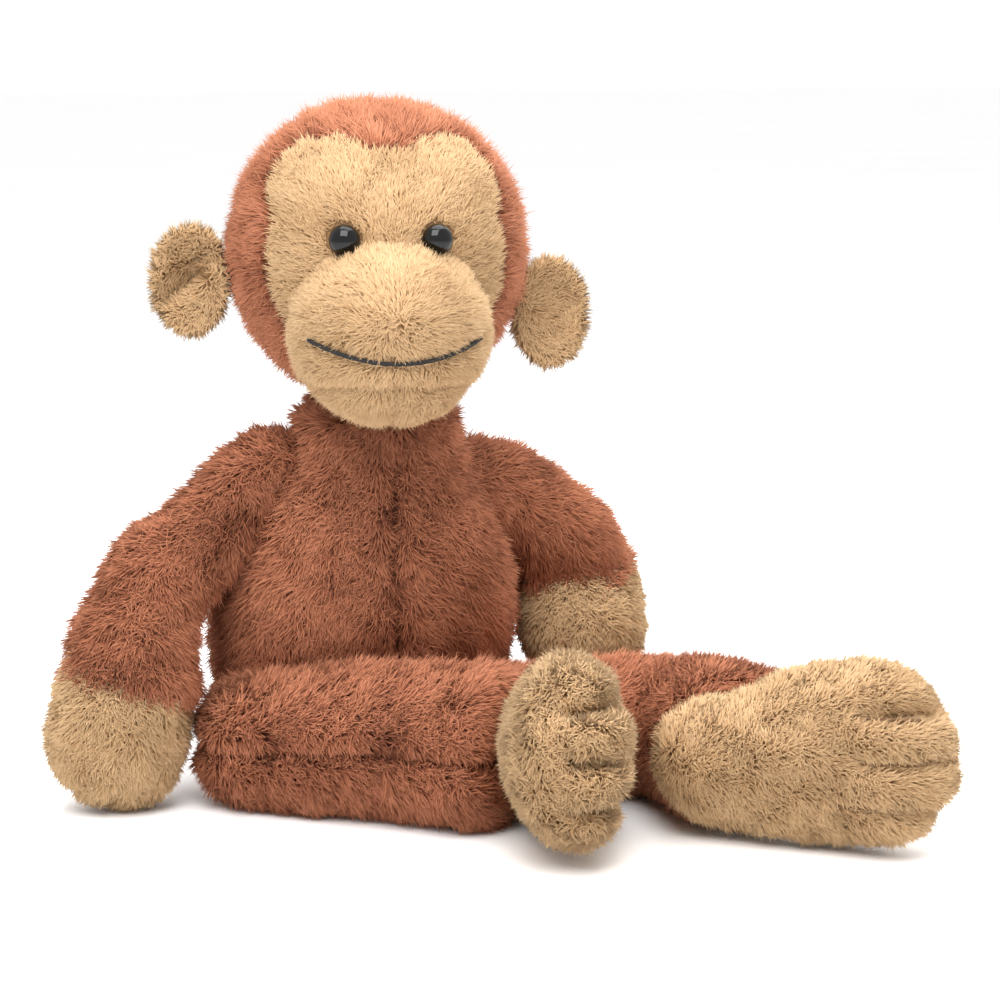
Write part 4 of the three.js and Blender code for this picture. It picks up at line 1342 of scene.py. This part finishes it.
@dataclass
class Studio:
    """Pale floor, soft light and the camera.

    Attributes:
        azimuth: degrees round from the front that the camera stands.
        elevation: degrees up.
        distance: from the camera to its aim, in metres.
        aim: where it looks, in metres.
        lens: focal length in millimetres on a 36 mm wide sensor.
    """

    azimuth: float = -20
    elevation: float = 8.5
    distance: float = 1.5
    aim: tuple = (0.0634, -0.0231, 0.1302)
    lens: float = 114.5

    def build_floor(self) -> None:
        """A wide pale floor with a faint grain."""
        grid = np.array([[-15, -15, 0], [15, -15, 0], [15, 15, 0], [-15, 15, 0]], float)
        mesh = bpy.data.meshes.new("floor")
        mesh.from_pydata(grid.tolist(), [], [(0, 1, 2, 3)])
        material, tree, shader = blank_material("floor_paper")
        noise = tree.nodes.new("ShaderNodeTexNoise")
        noise.inputs["Scale"].default_value = 90
        tones = ramp(tree, [(0.3, (0.980, 0.980, 0.980)), (0.7, (0.995, 0.995, 0.995))])
        tree.links.new(noise.outputs["Fac"], tones.inputs["Fac"])
        tree.links.new(tones.outputs["Color"], shader.inputs["Base Color"])
        shader.inputs["Roughness"].default_value = 0.9
        mesh.materials.append(material)
        floor = bpy.data.objects.new("floor", mesh)
        bpy.context.scene.collection.objects.link(floor)

    def build_light(self) -> None:
        """A bright even sky, a large key from above the camera's left and a weak rim behind."""
        world = bpy.data.worlds.new("studio")
        world.use_nodes = True
        sky = world.node_tree.nodes["Background"]
        sky.inputs["Color"].default_value = (1, 1, 1, 1)
        sky.inputs["Strength"].default_value = 1.0
        plain = world.node_tree.nodes.new("ShaderNodeBackground")
        plain.inputs["Color"].default_value = (1, 1, 1, 1)
        plain.inputs["Strength"].default_value = 1.1
        choice = world.node_tree.nodes.new("ShaderNodeMixShader")
        path = world.node_tree.nodes.new("ShaderNodeLightPath")
        links = world.node_tree.links
        links.new(path.outputs["Is Camera Ray"], choice.inputs["Fac"])
        links.new(sky.outputs["Background"], choice.inputs[1])
        links.new(plain.outputs["Background"], choice.inputs[2])
        links.new(choice.outputs["Shader"], world.node_tree.nodes["World Output"].inputs["Surface"])
        bpy.context.scene.world = world
        for name, place, power, size in (
            ("key", (-0.5, -1.0, 1.5), 30, 1.2),
            ("top", (0.3, 0.2, 1.7), 22, 1.4),
            ("rim", (0.9, 0.8, 0.8), 8, 0.8),
        ):
            light = bpy.data.lights.new(name, "AREA")
            light.energy, light.size = power, size
            lamp = bpy.data.objects.new(name, light)
            lamp.location = place
            aim = Vector(self.aim) - lamp.location
            lamp.rotation_euler = aim.to_track_quat("-Z", "Y").to_euler()
            bpy.context.scene.collection.objects.link(lamp)

    def build_camera(self) -> None:
        """The camera at its azimuth and elevation, looking at its aim."""
        a, e = math.radians(self.azimuth), math.radians(self.elevation)
        way = Vector((math.sin(a) * math.cos(e), -math.cos(a) * math.cos(e), math.sin(e)))
        data = bpy.data.cameras.new("camera")
        data.lens, data.sensor_width = self.lens, 36
        data.clip_end = 60
        camera = bpy.data.objects.new("camera", data)
        camera.location = Vector(self.aim) + way * self.distance
        camera.rotation_euler = (-way).to_track_quat("-Z", "Y").to_euler()
        bpy.context.scene.collection.objects.link(camera)
        bpy.context.scene.camera = camera

    def build(self) -> None:
        """Floor, light, camera and a plain view transform."""
        self.build_floor()
        self.build_light()
        self.build_camera()
        bpy.context.scene.view_settings.view_transform = "Standard"


def arm(side: Side, waypoints: list, radii: tuple, seed: int) -> Limb:
    """One arm: out from the shoulder, then down, bowed away from the belly.

    Args:
        side: which arm.
        waypoints: shares of the way to the wrist, each with the step out to the side there.
        radii: radius over the pile at the shoulder, elbow and cuff.
        seed: makes the same coat each time.

    Returns:
        The limb.
    """
    name, out = side.name.lower(), side.value
    aside = [(share, (out * step, 0, 0.5)) for share, step in waypoints]
    ends = f"{name}_shoulder_raise", f"{name}_wrist_bend"
    return Limb(f"{name}_arm", *ends, (-out * 14, 0, 3), aside, radii, 4, seed)


def leg(side: Side, bend: float, seed: int) -> Limb:
    """One leg: along the floor from the hip to the ankle, bent out at the knee.

    Args:
        side: which leg.
        bend: how far the knee stands out, in millimetres.
        seed: makes the same coat each time.

    Returns:
        The limb.
    """
    name, out = side.name.lower(), side.value
    waypoints = [(0.5, (out * bend * 0.8, bend * 0.6, 3.5 - bend / 8))]
    ends = f"{name}_hip_spread", f"{name}_ankle_bend"
    radii, upward = (31 - bend / 10, 36 - bend / 8, 39), (0, 0, 1)
    return Limb(f"{name}_leg", *ends, (-out * 6, 14, 0), waypoints, radii, 8, seed, 0.48, upward)


def dress_inner_nodes() -> None:
    """Gives the inner CAD pieces that stay in place their own finishes."""
    finishes = {"pellet_pouch": POUCH_WEAVE}
    finishes |= {f"{side.name.lower()}_eye_washer": WASHER_PLASTIC for side in Side}
    for node, finish in finishes.items():
        materials = frame["nodes"][node].data.materials
        materials.clear()
        materials.append(WARDROBE.material(finish))


def main() -> None:
    """Builds the toy from the torso out, then the studio."""
    logging.basicConfig(level=logging.INFO)
    Torso().build()
    Head().build()
    Neck().build()
    Ear(Side.RIGHT, fold=7).build()
    Ear(Side.LEFT).build()
    arm(Side.RIGHT, [(0.22, 4), (0.46, 16), (0.76, 11)], (21, 26, 33.5), 31).build()
    arm(Side.LEFT, [(0.24, 9), (0.55, 11), (0.8, 5)], (24, 29, 33), 33).build()
    leg(Side.RIGHT, 0, 35).build()
    leg(Side.LEFT, 28, 37).build()
    Hand(Side.RIGHT, (-0.257, -0.228, -0.939)).build()
    Hand(Side.LEFT, (-0.11, -0.654, -0.749)).build()
    Foot(Side.RIGHT, toes=-20, lift=4, puff=1.7).build()
    Foot(Side.LEFT, toes=46, puff=1.1).build()
    dress_inner_nodes()
    Studio().build()


if __name__ == "__main__":
    main()
